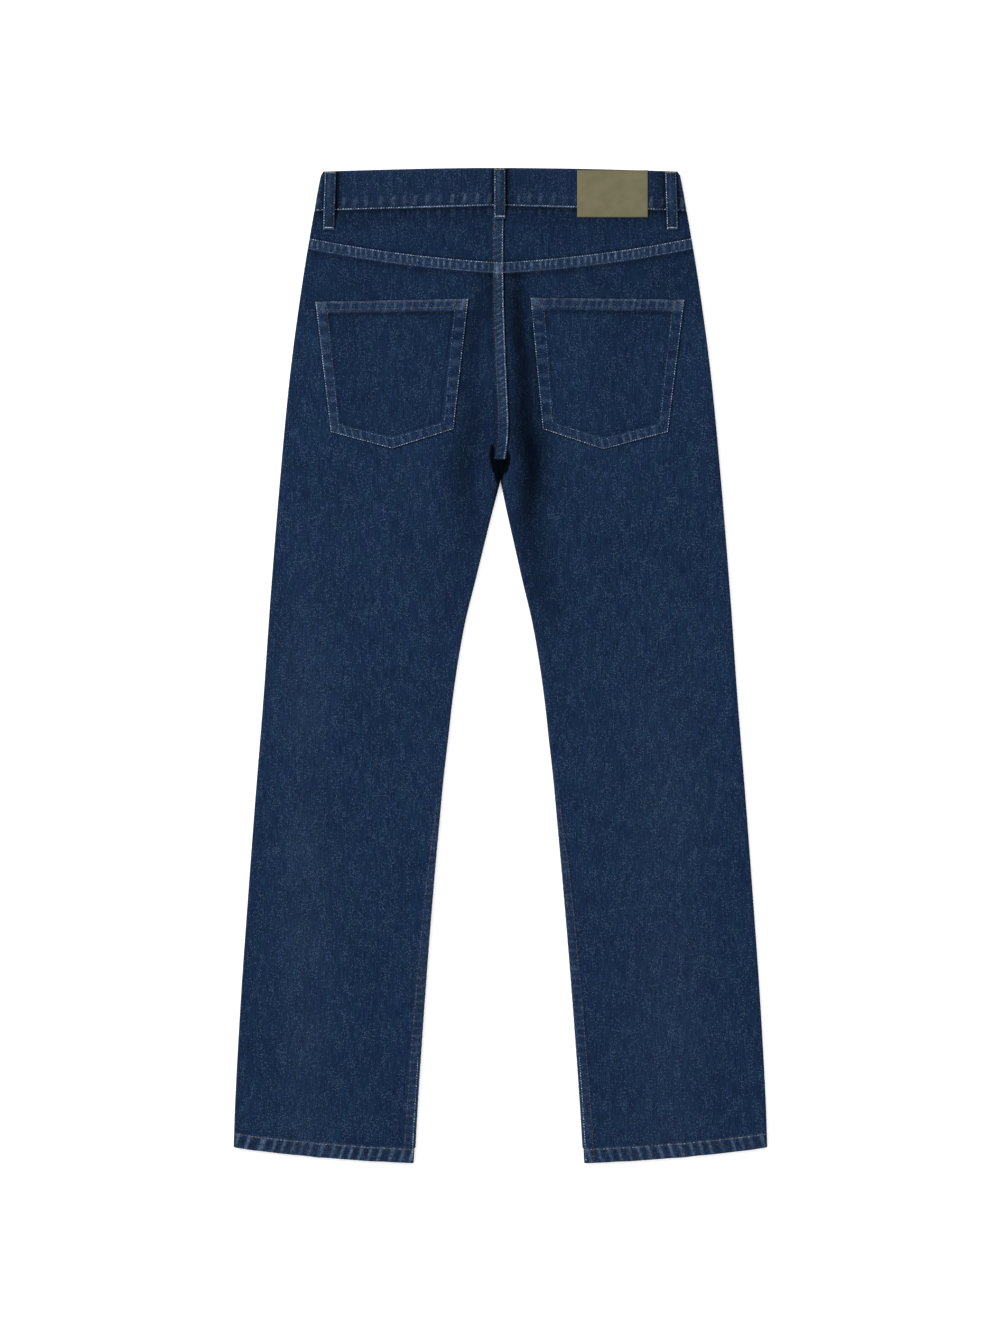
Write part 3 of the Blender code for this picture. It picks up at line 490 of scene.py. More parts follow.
def denim(name, dark, navy, teal, pale, weft, rubbed):
    """Rinsed ring-spun cotton twill, indigo warp over undyed weft, woven and sanforised.

    It looks like matt dark blue with fine upright streaks where a yarn is thick or thin,
    small pale points of weft and pale ridges where seams were rubbed in the wash. Shade is
    painted into its colour in corners beside raised seams, between the pleats of drawn-up seams
    and where the deep attribute asks for it, and the pale of wear also carries some painted light.
    The twill's diagonal is too fine to show, and isn't drawn.
    """
    gloss = {"Specular IOR Level": 0.02, "Sheen Weight": 0.02, "Sheen Roughness": 0.5}
    gloss["Sheen Tint"] = linear("#8fa3bf")
    made, tree, shader = new_finish(name, 0.90, gloss)
    place = add(tree, "ShaderNodeUVMap", uv_map="cloth")
    # Yarns lie 0.5 mm apart in the real cloth; drawn 0.9 to 1.4 mm wide, so that they show
    # Each row: size across and along, detail, roughness
    noises = []
    for across, along, detail, roughness in (
        (0.0014, 0.0160, 3.0, 0.60),
        (0.0009, 0.0036, 1.0, 0.50),
        (0.0060, 0.0011, 1.0, 0.50),
        (0.0085, 0.0240, 2.0, 0.50),
        (0.0190, 0.0340, 2.0, 0.50),
        (0.0500, 0.0900, 2.0, 0.50),
    ):
        cells = add(tree, MAPPING, {"Vector": place, "Scale": (1.0 / across, 1.0 / along, 1.0)})
        inputs = {"Vector": cells, "Scale": 1.0, "Detail": detail, "Roughness": roughness}
        noises.append(add(tree, NOISE, inputs, noise_dimensions="2D"))
    slubs, fine, picks, patches, drift, dye = noises
    # Points of weft are 0.4 mm across; drawn 0.8 mm, so that they show
    cells = add(tree, MAPPING, {"Vector": place, "Scale": (1.0 / 0.0012, 1.0 / 0.0016, 1.0)})
    points = add(tree, VORONOI, {"Vector": cells, "Scale": 1.0}, None, voronoi_dimensions="2D").outputs
    chances = add(tree, "ShaderNodeSeparateColor", (points["Color"],), None).outputs
    near = add(tree, RANGE, (points["Distance"], 0.38, 0.08), **SMOOTH)
    bright = add(tree, RANGE, (add(tree, MATH, (chances[0], patches), **PLUS), 1.26, 1.40), **SMOOTH)
    dull = add(tree, RANGE, (add(tree, MATH, (chances[1], patches), **PLUS), 1.28, 1.36), **SMOOTH)
    specks = add(tree, MATH, (near, bright), **TIMES)
    dull_points = add(tree, MATH, (add(tree, MATH, (near, dull), **TIMES), 0.50), **TIMES)
    weft_points = add(tree, MATH, (specks, 0.55), **TIMES)
    thick, thin = add(tree, MATH, (slubs, 0.7), **TIMES), add(tree, MATH, (fine, 0.3), **TIMES)
    yarn = add(tree, MATH, (thick, thin), **PLUS)
    gathered = add(tree, RANGE, (patches, 0.34, 0.66), **SMOOTH)
    dashes = add(tree, MATH, (add(tree, RANGE, (picks, 0.58, 0.74, 0.0, 0.30), **SMOOTH), gathered), **TIMES)

    wear_and_light, pleat, drawn, sunk, deep = (
        add(tree, "ShaderNodeAttribute", out="Fac", attribute_name=label)
        for label in ("wear_and_light", "pleat", "drawn", "sunk", "deep")
    )
    mixed = add(tree, MATH, (fine, add(tree, MATH, (picks, 0.8), **TIMES)), **PLUS)
    grain = add(tree, RANGE, (mixed, 0.60, 1.20, 0.25, 1.75), **SMOOTH)
    # Pleats of drawn-up seams: rubbed pale on their crests, with painted shade between them
    wave = add(tree, MATH, (add(tree, MATH, (pleat, 2.0 * math.pi), **TIMES),), operation="COSINE")
    drawn_grain = add(tree, MATH, (drawn, grain), **TIMES)
    crest = add(tree, MATH, (add(tree, RANGE, (wave, 0.30, 0.95), **SMOOTH), drawn_grain), **TIMES)
    hollow = add(tree, MATH, (add(tree, RANGE, (wave, 0.10, -0.80), **SMOOTH), sunk), **TIMES)
    # Painted shade in corners: ambient occlusion darkens the colour within 4.5 mm of other surfaces
    corner_shade = add(tree, "ShaderNodeAmbientOcclusion", {"Distance": 0.0045}, "AO", samples=8)
    # Layers of colour, each laid on the last: what it follows, the range that counts, colour
    cloth = linear(navy)
    for value, bounds, colour in (
        (drift, (0.36, 0.64), teal),
        (yarn, (0.50, 0.35, 0.0, 0.62), dark),
        (yarn, (0.50, 0.68, 0.0, 0.50), pale),
        (dashes, (), pale),
        (dye, (0.40, 0.70, 0.0, 0.16), dark),
        (dull_points, (), dark),
        (weft_points, (), weft),
        (add(tree, MATH, (wear_and_light, grain), **TIMES), (), rubbed),
        (crest, (), rubbed),
        # Painted shade: between the pleats, where the deep attribute asks, and in corners
        (hollow, (), SHADE_BLACK),
        (deep, (), SHADE_BLACK),
        (corner_shade, (0.90, 0.45, 0.0, 0.85), SHADE_BLACK),
    ):
        share = add(tree, RANGE, (value, *bounds), **SMOOTH) if bounds else value
        cloth = add(tree, MIX, {0: share, 6: cloth, 7: linear(colour)}, 2, **COLOURS)
    tree.links.new(cloth, shader.inputs["Base Color"])

    ribs = add(tree, MATH, (yarn, add(tree, MATH, (specks, 0.4), **TIMES)), **PLUS)
    ribs = add(tree, MATH, (ribs, add(tree, MATH, (crest, 4.0), **TIMES)), **PLUS)
    bump = add(tree, BUMP, {"Strength": 0.35, "Distance": 0.0004, "Height": ribs})
    tree.links.new(bump, shader.inputs["Normal"])
    return made


def veg_leather():
    """Vegetable-tanned leather patch, drum dyed olive and plated smooth.

    It looks even and satin with a very fine grain, a little darker where its cut edges
    were burnished.
    """
    made, tree, shader = new_finish("olive_veg_tanned_leather", 0.52, {"Specular IOR Level": 0.32})
    place = add(tree, "ShaderNodeUVMap", uv_map="cloth")
    # Hair pores are about 0.2 mm apart; drawn 0.9 mm, so that they show
    cells = add(tree, MAPPING, {"Vector": place, "Scale": (1.0 / 0.0009, 1.0 / 0.0009, 1.0)})
    grain = add(tree, VORONOI, {"Vector": cells, "Scale": 1.0}, "Distance", voronoi_dimensions="2D")
    cells = add(tree, MAPPING, {"Vector": place, "Scale": (1.0 / 0.0150, 1.0 / 0.0120, 1.0)})
    inputs = {"Vector": cells, "Scale": 1.0, "Detail": 4.0, "Roughness": 0.5}
    clouds = add(tree, RANGE, (add(tree, NOISE, inputs, noise_dimensions="2D"), 0.25, 0.75), **SMOOTH)
    pores = add(tree, RANGE, (grain, 0.05, 0.50, 0.16, 0.0), **SMOOTH)
    edge = add(tree, "ShaderNodeAttribute", out="Fac", attribute_name="deep")
    skin = linear("#5d5940")
    for share, colour in ((clouds, "#655f46"), (pores, "#4f4b36"), (edge, "#3b3626")):
        skin = add(tree, MIX, {0: share, 6: skin, 7: linear(colour)}, 2, **COLOURS)
    tree.links.new(skin, shader.inputs["Base Color"])
    bump = add(tree, BUMP, {"Strength": 0.25, "Distance": 0.0003, "Height": grain})
    tree.links.new(bump, shader.inputs["Normal"])
    return made


def thread(name, shade, faded):
    """Core-spun cotton-wrapped polyester sewing thread, dyed and softly twisted.

    It looks like short matt strokes; the rub attribute fades some of them as the wash does.
    """
    made, tree, shader = new_finish(name, 0.70, {"Specular IOR Level": 0.25, "Sheen Weight": 0.10})
    rub = add(tree, "ShaderNodeAttribute", out="Fac", attribute_name="rub")
    place = add(tree, "ShaderNodeTexCoord", out="Object")
    fluff = add(tree, NOISE, {"Vector": place, "Scale": 1600.0, "Detail": 1.0})
    faint = add(tree, RANGE, (rub, 0.20, 0.95, 0.0, 0.90), **SMOOTH)
    share = add(tree, MATH, (faint, add(tree, RANGE, (fluff, 0.3, 0.7, -0.1, 0.1), **SMOOTH)), **PLUS)
    cotton = add(tree, MIX, {0: share, 6: linear(shade), 7: linear(faded)}, 2, **COLOURS)
    tree.links.new(cotton, shader.inputs["Base Color"])
    return made


def aged_brass():
    """Stamped brass button, dipped to age it and then rubbed.

    It looks warm and satin, with darker and rougher clouds of tarnish.
    """
    made, tree, shader = new_finish("aged_stamped_brass", 0.36, {"Metallic": 1.0})
    place = add(tree, "ShaderNodeTexCoord", out="Object")
    tarnish = add(tree, NOISE, {"Vector": place, "Scale": 420.0, "Detail": 4.0})
    share = add(tree, RANGE, (tarnish, 0.40, 0.66), **SMOOTH)
    metal = add(tree, MIX, {0: share, 6: linear("#a6814e"), 7: linear("#5c4228")}, 2, **COLOURS)
    tree.links.new(metal, shader.inputs["Base Color"])
    tree.links.new(add(tree, RANGE, (tarnish, 0.30, 0.70, 0.28, 0.52), **SMOOTH), shader.inputs["Roughness"])
    bump = add(tree, BUMP, {"Strength": 0.2, "Distance": 0.0002, "Height": tarnish})
    tree.links.new(bump, shader.inputs["Normal"])
    return made


def light_table():
    """White opal acrylic of a light table, matt on top and lit evenly from below.

    It looks even and pure white, and the light from below takes the depth out of shadows.
    """
    glow = {"Specular IOR Level": 0.1, "Emission Strength": 0.30, "Emission Color": (1.0, 1.0, 1.0, 1.0)}
    made, tree, shader = new_finish("white_opal_acrylic", 0.95, glow)
    place = add(tree, "ShaderNodeTexCoord", out="Object")
    fibre = add(tree, NOISE, {"Vector": place, "Scale": 260.0, "Detail": 3.0})
    share = add(tree, RANGE, (fibre, 0.2, 0.8), **SMOOTH)
    top = add(tree, MIX, {0: share, 6: linear("#f6f6f5"), 7: linear("#fafaf9")}, 2, **COLOURS)
    tree.links.new(top, shader.inputs["Base Color"])
    return made


body_colours = ("#0c1627", "#14233e", "#14263e", "#213651", "#607690", "#90a8c8")
body_denim = denim("rinsed_indigo_denim", *body_colours)
band_colours = ("#0b1423", "#14213b", "#14243b", "#22344e", "#62758e", "#92aac6")
band_denim = denim("rinsed_indigo_denim_band", *band_colours)
leather = veg_leather()
tobacco_thread = thread("tobacco_sewing_thread", "#52402f", "#6c6c68")
stained_thread = thread("indigo_stained_thread", "#34425c", "#7b93b8")
khaki_thread = thread("khaki_sewing_thread", "#655a44", "#969b9a")
pale_thread = thread("pale_washed_thread", "#6f89aa", "#d2e2fa")
brass = aged_brass()
acrylic = light_table()

# ---------------------------------------------------------------- making shells


def placed(name, data):
    """A new object in the scene for a mesh, a light or a camera."""
    made = bpy.data.objects.new(name, data)
    bpy.context.scene.collection.objects.link(made)
    return made


outer_faces = {}  # of each piece, for the stitches to lie on


def normals(grid, flipped):
    down = np.gradient(grid, axis=0)
    out = np.gradient(grid, axis=1)
    normal = np.cross(down, out)
    normal /= np.maximum(np.linalg.norm(normal, axis=2, keepdims=True), 1e-12)
    return -normal if flipped else normal


def shell(name, base, relief, ply, pattern, wear, finish, flipped):
    """Closed thin shell: relief stands up from the base grid and a plain inner face lies ply below it.

    wear holds the outer face's values that the finish reads, by name, painted light and shade among them.
    """
    rows, columns = base.shape[:2]
    normal = normals(base, flipped)
    outer = base + normal * np.broadcast_to(relief, (rows, columns))[..., None]
    inner = base - normal * np.broadcast_to(ply, (rows, columns))[..., None]
    count = rows * columns
    points = np.concatenate([outer.reshape(-1, 3), inner.reshape(-1, 3)])

    index = np.arange(count).reshape(rows, columns)
    a, b, c, d = index[:-1, :-1], index[1:, :-1], index[1:, 1:], index[:-1, 1:]
    quads = np.stack([a, b, c, d], axis=-1).reshape(-1, 4)
    border = np.concatenate([index[:, 0], index[-1, 1:], index[-2::-1, -1], index[0, -2::-1]])
    first, second = border[:-1], border[1:]
    rim = np.stack([second, first, first + count, second + count], axis=-1)
    faces = np.concatenate([quads, quads[:, ::-1] + count, rim])
    if flipped:
        faces = faces[:, ::-1]

    mesh = bpy.data.meshes.new(name)
    mesh.from_pydata(points.tolist(), [], faces.tolist())
    mesh.materials.append(finish)
    mesh.shade_smooth()
    mesh.set_sharp_from_angle(angle=math.radians(55.0))
    across = np.tile(pattern.reshape(-1, 2), (2, 1))
    corners = np.empty(len(mesh.loops), np.int32)
    mesh.loops.foreach_get("vertex_index", corners)
    layer = mesh.uv_layers.new(name="cloth")
    layer.data.foreach_set("uv", across[corners].astype(np.float32).ravel())
    for label, values in wear.items():
        full = np.zeros(2 * count, np.float32)
        full[:count] = np.broadcast_to(values, (rows, columns)).ravel()
        mesh.attributes.new(label, "FLOAT", "POINT").data.foreach_set("value", full)
    piece = placed(name, mesh)
    outer_faces[name] = BVHTree.FromPolygons(outer.reshape(-1, 3).tolist(), quads.tolist())
    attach(piece, "root")


def declare(name):
    """Hides the imported solid that the piece of this name stands for."""
    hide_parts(name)


# ---------------------------------------------------------------- the upper layer

ROLL_COLUMNS = 8
FELL_COLUMNS = 8
MIDDLE_COLUMNS = 64
FOLD_COLUMNS = 10
STRIP_COLUMNS = 4
SIDE_WORD = {-1: "left", 1: "right"}


def back_inner_edge(side, y):
    seam = read(SEAT_SEAM, y)
    above = seam + GAP if side > 0 else -seam
    return np.where(y < FORK, inner_fold(side, y), above)


def upper_row(side, line, edge, lift, dip, in_yoke):
    """One row of the upper layer: (points, places), from its inner edge to the strip on the underside.

    places holds for each point its u in plan, its distance in from the edge, its distance
    across the cloth and how far it faces up, from 0 on the underside to 1.
    """
    y_edge = float(line(edge))
    pit, roll, at_fork = 0.0, 0.0, 0.0
    if not in_yoke:
        pit = float(ease((SEAT_END - y_edge) / 0.003) * ease((y_edge - PIT_LOW) / FORK_RUN))
        roll = float(ease((FORK - y_edge) / FORK_RUN))
        at_fork = float(bell(y_edge - FORK, FORK_REACH))
    radius = mix(INNER_RADIUS, FORK_RADIUS, at_fork)
    reach = float(read(PIT, y_edge)) + side * PIT_X - edge
    zone = mix(radius, reach, pit)
    t = np.linspace(0.0, 1.0, ROLL_COLUMNS)
    share = mix(mix(t, 1.0 - np.cos(0.5 * np.pi * t), roll), t, pit)
    u = edge + zone * share
    face = upper_face(side * u, line(u)) + lift
    end = INNER_RADIUS + 0.5 * GAP
    rolled = mix(face, end + (face - end) * np.sin(0.5 * np.pi * t), roll)
    z = mix(rolled, mix(PIT_FLOOR, face, np.interp(t, *np.array(PIT_SECTION).T)), pit)

    felled = float(read(INSEAM_FELL, y_edge))
    fell = mix(max(felled, radius + 3.0 * STEP), SEAT_FELL, float(ease((y_edge - 0.2185) / 0.003)))
    fell = max(fell, zone + 3.0 * STEP) if pit else fell
    fold_y = float(line(0.2))
    for _ in range(4):
        fold_y = float(line(read(OUTER_FOLD, fold_y)))
    fold = float(read(OUTER_FOLD, fold_y))
    round_off = 0.5 * (EDGE_HIGH + lift)
    last_flat = fold - round_off
    felled_u = np.linspace(edge + zone, edge + fell - STEP, FELL_COLUMNS)[1:]
    t = np.linspace(0.0, 1.0, MIDDLE_COLUMNS)
    middle = mix(edge + fell + STEP, last_flat, 0.3 * t + 0.7 * t ** 1.6)
    flat_u = np.concatenate([felled_u, middle])
    flat_z = upper_face(side * flat_u, line(flat_u)) + lift

    angle = np.linspace(0.5 * np.pi, -0.5 * np.pi, FOLD_COLUMNS + 1)[1:]
    fold_u = last_flat + round_off * np.cos(angle)
    fold_z = round_off + round_off * np.sin(angle)
    strip_u = np.linspace(last_flat, float(side_seam(fold_y)), STRIP_COLUMNS + 1)[1:]
    under_u = np.concatenate([fold_u, strip_u])
    under_z = np.concatenate([fold_z, np.zeros(STRIP_COLUMNS)])
    drop = dip * (SIDE_WAIST - front_waist_seam(under_u)) * (under_z <= round_off + 1e-6)

    all_u = np.concatenate([u, flat_u, under_u])
    all_y = np.concatenate([line(u), line(flat_u), fold_y - drop])
    all_z = np.concatenate([z, flat_z, under_z])
    points = np.stack([side * all_u, all_y, all_z], axis=-1)
    run = np.concatenate([[0.0], np.cumsum(np.hypot(np.diff(all_u), np.diff(all_z)))])
    at_zone, at_fold = ROLL_COLUMNS - 1, ROLL_COLUMNS + len(flat_u) - 1
    across = all_u.copy()
    across[:at_zone] = all_u[at_zone] - (run[at_zone] - run[:at_zone])
    across[at_fold:] = all_u[at_fold] + (run[at_fold:] - run[at_fold])
    plan = np.where(np.arange(len(all_u)) > at_fold, fold, all_u)
    facing = np.ones(len(all_u))
    facing[at_fold + 1 :] = np.concatenate([0.5 + 0.5 * np.sin(angle), np.zeros(STRIP_COLUMNS)])
    return points, np.stack([plan, all_u - edge, across, facing], axis=-1)


def wear_light_and_shade(wear_and_light, deep, darkest=0.95, palest=0.6, **pleated):
    """The outer face's values that denim reads, held within their limits: pale of wear with some painted
    light, deep for painted shade and darker tone, and pleats with the shade painted between them.
    """
    return {"wear_and_light": np.clip(wear_and_light, 0.0, palest), "deep": np.clip(deep, 0.0, darkest), **pleated}


def band_beside(distance, wide):
    """1 on the raised cloth within that width of an edge, with a steep slope past it."""
    return 1.0 - ease((distance - wide + STEP) / (2.0 * STEP))


def edge_round(distance):
    """How far the outer face falls at an edge, from 1 at the edge to 0."""
    return 1.0 - ease(distance / EDGE_TURN)


def lines(distance, rows, wide):
    """1 on lines at these distances from an edge."""
    total = 0.0
    for row in rows:
        total = total + bell(distance - row, wide)
    return total


def speckle(across, along, seed):
    """Uneven wear, from 0.2 to 1."""
    return 0.6 + 0.28 * uneven(along + 0.7 * across, 0.0042, seed) + 0.12 * uneven(along, 0.0160, seed + 1)


def region_deep(x, y):
    """Darker over the seat, with painted shade in the troughs beside its seam."""
    seat = 0.15 * ease((y - 0.330) / 0.080)
    return np.maximum(seat, along_paths(DARK_TROUGHS, x, y))


def pocket_shade(x, y):
    """Shade painted into the panel along the right pocket's inner side."""
    top, low = POCKETS[1][0], POCKETS[1][2]
    beside = x - mix(top[0], low[0], (top[1] - y) / (top[1] - low[1]))
    return 0.62 * bell(beside + 0.0020, 0.0044) * plateau(y - 0.312, 0.040, 0.075)


def leg_ridge_light(x, y):
    """Painted light on the ridges down the outer half of the legs."""
    left = 0.010 * bell(x + 0.210, 0.026) * ease((0.17 - y) / 0.18)
    right = 0.006 * bell(x - 0.186, 0.036) * ease((0.10 - y) / 0.15)
    right = right + 0.003 * bell(x - 0.160, 0.060) * ease((0.05 - y) / 0.12)
    return left + right


# In the formulas that follow, a bell, an ease or a plateau in metres says where across a seam or
# an edge something lies and how wide it is there, and the factor before it says how much.


def back_panel(side):
    name = "back_panel_" + SIDE_WORD[side]
    top = float(yoke_seam(0.0))
    hem_top = HEM_INNER + HEM_DEEP
    bases = np.concatenate([
        np.linspace(top, top - YOKE_FELL + STEP, 9),
        np.linspace(top - YOKE_FELL - STEP, 0.245, 76),
        np.linspace(0.2435, 0.183, 48),
        np.linspace(0.181, hem_top + STEP, 292),
        np.linspace(hem_top - STEP, HEM_INNER, 11),
    ])
    grid, places, plies = [], [], []
    for base in bases:
        in_fell = float(base > top - YOKE_FELL)
        in_hem = float(base < hem_top)

        def line(u, base=base):
            return row_height(yoke_seam, base, u)

        y_edge = float(line(back_inner_edge(side, base)))
        lift = FELL_RISE * in_fell + HEM_HIGH * in_hem
        points, place = upper_row(side, line, float(back_inner_edge(side, y_edge)), lift, 0.0, False)
        grid.append(points)
        places.append(place)
        plies.append([CLOTH + FELL_RISE * in_fell + (HEM_CLOTH - CLOTH) * in_hem])
    grid = np.array(grid)
    plan, inward, across, facing = np.moveaxis(np.array(places), 2, 0)
    x, y = grid[..., 0], grid[..., 1]
    below = yoke_seam(plan) - y
    above_hem = y - hem_line(plan)
    seed = 20 if side < 0 else 60

    yoke_band = band_beside(below, YOKE_FELL)
    seat_band = band_beside(inward, SEAT_FELL) * ease((y - PIT_TOP) / 0.0015) * (side < 0)
    wide = read(INSEAM_FELL, y)
    shows = ease((INSEAM_FELL[-1][0] - y) / INSEAM_FADE)
    leg_band = band_beside(inward, wide) * shows
    hem_band = band_beside(above_hem, HEM_DEEP)
    relief = FELL_RISE * np.maximum(seat_band * (1.0 - yoke_band), leg_band * (1.0 - hem_band))
    relief -= 0.0005 * (edge_round(below) + edge_round(inward) * (y > SEAT_END) + edge_round(above_hem))

    yoke_count, yoke_high, yoke_crest = pleats(plan, 0.0068, seed)
    seat_count, seat_high, seat_crest = pleats(y + 0.55 * inward, 0.0061, seed + 3)
    calm = 0.25 + 0.75 * ease((y - 0.250) / 0.060)
    seat_high, seat_crest = seat_high * calm, PLEAT_MEAN + (seat_crest - PLEAT_MEAN) * calm
    leg_count, leg_high, leg_crest = pleats(y, 0.0085, seed + 6)
    hem_count, hem_high, hem_crest = pleats(plan + 0.32 * above_hem, 0.0108, seed + 9)
    yoke_near = np.maximum(yoke_band, 0.5 * bell(below - YOKE_FELL, 0.006))
    hem_near = np.maximum(hem_band, 0.5 * bell(above_hem - HEM_DEEP, 0.007))
    leg_near = np.maximum(leg_band, 0.4 * shows * bell(inward - wide, 0.005))
    seat_near = np.maximum(seat_band, 0.35 * bell(inward - SEAT_FELL * (side < 0), 0.005) * (y > 0.222))
    relief += 0.00024 * yoke_near * (yoke_crest - PLEAT_MEAN)
    relief += 0.00040 * seat_near * (seat_crest - PLEAT_MEAN)
    relief += 0.00030 * leg_near * (leg_crest - PLEAT_MEAN)
    relief += 0.00036 * hem_near * (hem_crest - PLEAT_MEAN)
    relief -= 0.00022 * lines(below, (0.0011, 0.0108), 0.0006)
    relief -= 0.00026 * lines(above_hem, (HEM_DEEP - 0.0014,), 0.0007)
    relief -= 0.00020 * shows * lines(inward - wide, (-0.0014,), 0.0006)
    relief *= facing

    dots = speckle(x, y, seed + 12)
    wear_and_light = 0.020 * yoke_band + 0.036 * lines(below, (0.0006,), 0.0008) * dots
    wear_and_light += 0.050 * lines(below, (0.0112,), 0.0008) * dots
    wear_and_light += seat_band * (0.016 + 0.014 * bell(inward - 0.0052, 0.0022)) * ease((y - 0.225) / 0.060)
    wear_and_light += seat_band * 0.50 * bell(inward - 0.0002, 0.0007) * (0.7 + 0.4 * uneven(y, 0.009, seed + 14))
    wear_and_light += hem_band * 0.010 + 0.050 * bell(above_hem - HEM_DEEP + 0.0012, 0.0012) * dots
    wear_and_light += leg_band * 0.006 + 0.014 * bell(inward, 0.0030) * (y < 0.15)
    crossing = bell(x + 0.0036, 0.0019) * plateau(y - 0.4215, 0.0045, 0.0085) * (side < 0)
    wear_and_light += 0.24 * crossing * (0.5 + 0.5 * dots)
    # Painted light on the legs' ridges
    wear_and_light += leg_ridge_light(x, y) * (1.0 + 0.5 * uneven(y, 0.05, seed + 15))

    in_hem, in_yoke, in_seat = above_hem < HEM_DEEP + 0.004, below < YOKE_FELL + 0.003, y > 0.150
    pleat = np.select([in_hem, in_yoke, in_seat], [hem_count, yoke_count, seat_count], leg_count)
    yoke_middle, seat_middle = bell(below - 0.0056, 0.0036), bell(inward - 0.0055, 0.0030)
    drawn = 0.17 * hem_band * hem_high + 0.24 * yoke_band * yoke_high * yoke_middle
    drawn += (1.0 - yoke_band) * seat_band * 0.12 * seat_high * seat_middle
    drawn += (1.0 - hem_band) * leg_band * 0.05 * leg_high
    # sunk: how much shade is painted between the pleats of the hem, the yoke's fell and the seat seam
    sunk = 0.34 * hem_band * bell(above_hem - 0.0090, 0.0052) + 0.20 * yoke_band * yoke_middle
    sunk += (1.0 - yoke_band) * 0.20 * seat_band * seat_middle

    # Darker over the seat; painted shade in its troughs, beside the right pocket, below the yoke's fell,
    # above the hem and beside both edges of the seat seam's fell
    deep = np.maximum(region_deep(x, y), pocket_shade(x, y))
    deep = deep * (1.0 - 0.6 * seat_band) * (1.0 - 0.6 * yoke_band)
    deep += 0.30 * bell(below - YOKE_FELL - 0.0020, 0.0040) * (1.0 - yoke_band)
    deep += 0.26 * bell(above_hem - HEM_DEEP - 0.0022, 0.0022) * (0.6 + 0.4 * uneven(plan, 0.017, seed + 16))
    deep += 0.30 * bell(inward - SEAT_FELL - 0.0022, 0.0040) * (y > 0.225) * (side < 0)
    deep += 0.92 * bell(inward, 0.0016) * ease((y - 0.232) / 0.008) * (side > 0)
    # Painted shade: black in the pit where the legs part, in the hollows at the seat seam's end, and on the
    # left leg's inner edge below the fork
    in_pit = ease((0.2214 - y) / 0.0010) * ease((y - 0.1925) / 0.0025)
    reach = read(DARK_PIT[side], np.clip(y, 0.1930, PIT_TOP))
    soft = 0.0010 + 0.0016 * ease((0.212 - y) / 0.012)
    pit = in_pit * (1.0 - ease((plan - reach + 0.5 * soft) / soft))
    lobes = ease((along_paths(END_HOLLOWS, x, y) - 0.15) / 0.45) * (1.0 - seat_band)
    fork_edge = 0.85 * bell(inward, 0.0036) * ease((0.1990 - y) / 0.002) * ease((y - 0.160) / 0.030)
    fork_edge = fork_edge * (1.0 if side < 0 else 0.35)
    deep = np.maximum.reduce([deep, pit, lobes, fork_edge])
    pattern = np.stack([side * across, y], axis=-1)
    wear = wear_light_and_shade(wear_and_light, deep, darkest=1.0, pleat=pleat, drawn=drawn, sunk=sunk)
    shell(name, grid, relief, np.array(plies), pattern, wear, body_denim, side < 0)
    declare(name)


def back_yoke(side):
    name = "back_yoke_" + SIDE_WORD[side]
    grid, places = [], []
    for share in np.linspace(0.0, 1.0, 44):

        def line(u, share=share):
            return mix(back_waist_seam(u) - GAP, yoke_seam(u) + GAP, share)

        edge = float(back_inner_edge(side, float(line(0.0))))
        points, place = upper_row(side, line, edge, 0.0, 1.0 - share, True)
        grid.append(points)
        places.append(place)
    grid = np.array(grid)
    plan, inward, across, facing = np.moveaxis(np.array(places), 2, 0)
    x, y = grid[..., 0], grid[..., 1]
    seed = 120 if side < 0 else 160
    seat_band = band_beside(inward, SEAT_FELL) * (side < 0)
    count, high, crest = pleats(y + 0.4 * inward, 0.0066, seed)
    dots = speckle(x, y, seed + 4)
    under_band = back_waist_seam(plan) - y
    band_count, band_high, band_crest = pleats(plan, 0.0105, seed + 7)
    over_fell = y - yoke_seam(plan)
    relief = FELL_RISE * seat_band + 0.0003 * seat_band * (crest - PLEAT_MEAN) - 0.0005 * edge_round(inward)
    relief += 0.0003 * bell(under_band, 0.007) * (band_crest - 0.5)
    relief += 0.0003 * bell(over_fell, 0.005) * (pleats(plan, 0.0076, seed + 9)[2] - 0.7)
    relief *= facing
    wear_and_light = seat_band * (0.014 + 0.22 * bell(inward - 0.0004, 0.0007) * dots)
    # Darker over the seat; painted shade in its troughs, under the waistband, beside the loops, just above
    # the panel's fell and beside the seat seam on the right
    deep = region_deep(x, y) * (1.0 - 0.5 * seat_band) + 0.30 * bell(under_band, 0.016)
    deep = np.maximum(deep, loop_shade(x, y))
    deep += 0.22 * bell(under_band - 0.0016, 0.0022) + 0.34 * bell(over_fell - 0.0004, 0.0018)
    deep += 0.80 * bell(inward, 0.0015) * (side > 0)
    near_band = under_band < 0.016
    pleat = np.where(near_band, band_count, count)
    band_drawn = 0.06 * band_high * bell(under_band - 0.005, 0.004)
    drawn = np.where(near_band, band_drawn, 0.09 * seat_band * high)
    pattern = np.stack([side * across, y], axis=-1)
    wear = wear_light_and_shade(wear_and_light, deep, pleat=pleat, drawn=drawn)
    shell(name, grid, relief, CLOTH, pattern, wear, body_denim, side < 0)
    declare(name)


# ---------------------------------------------------------------- the lower layer


def front_inner_edge(side, y):
    seam = mix(-0.0001, FLY_EDGE, ease((y - FORK) / 0.06))
    if side < 0:
        above = -seam
    else:
        above = seam + GAP - (UNDERLAP + FLY_EDGE) * ease((y - FLY_BOTTOM) / 0.020)
    return np.where(y < FORK, inner_fold(side, y), above)


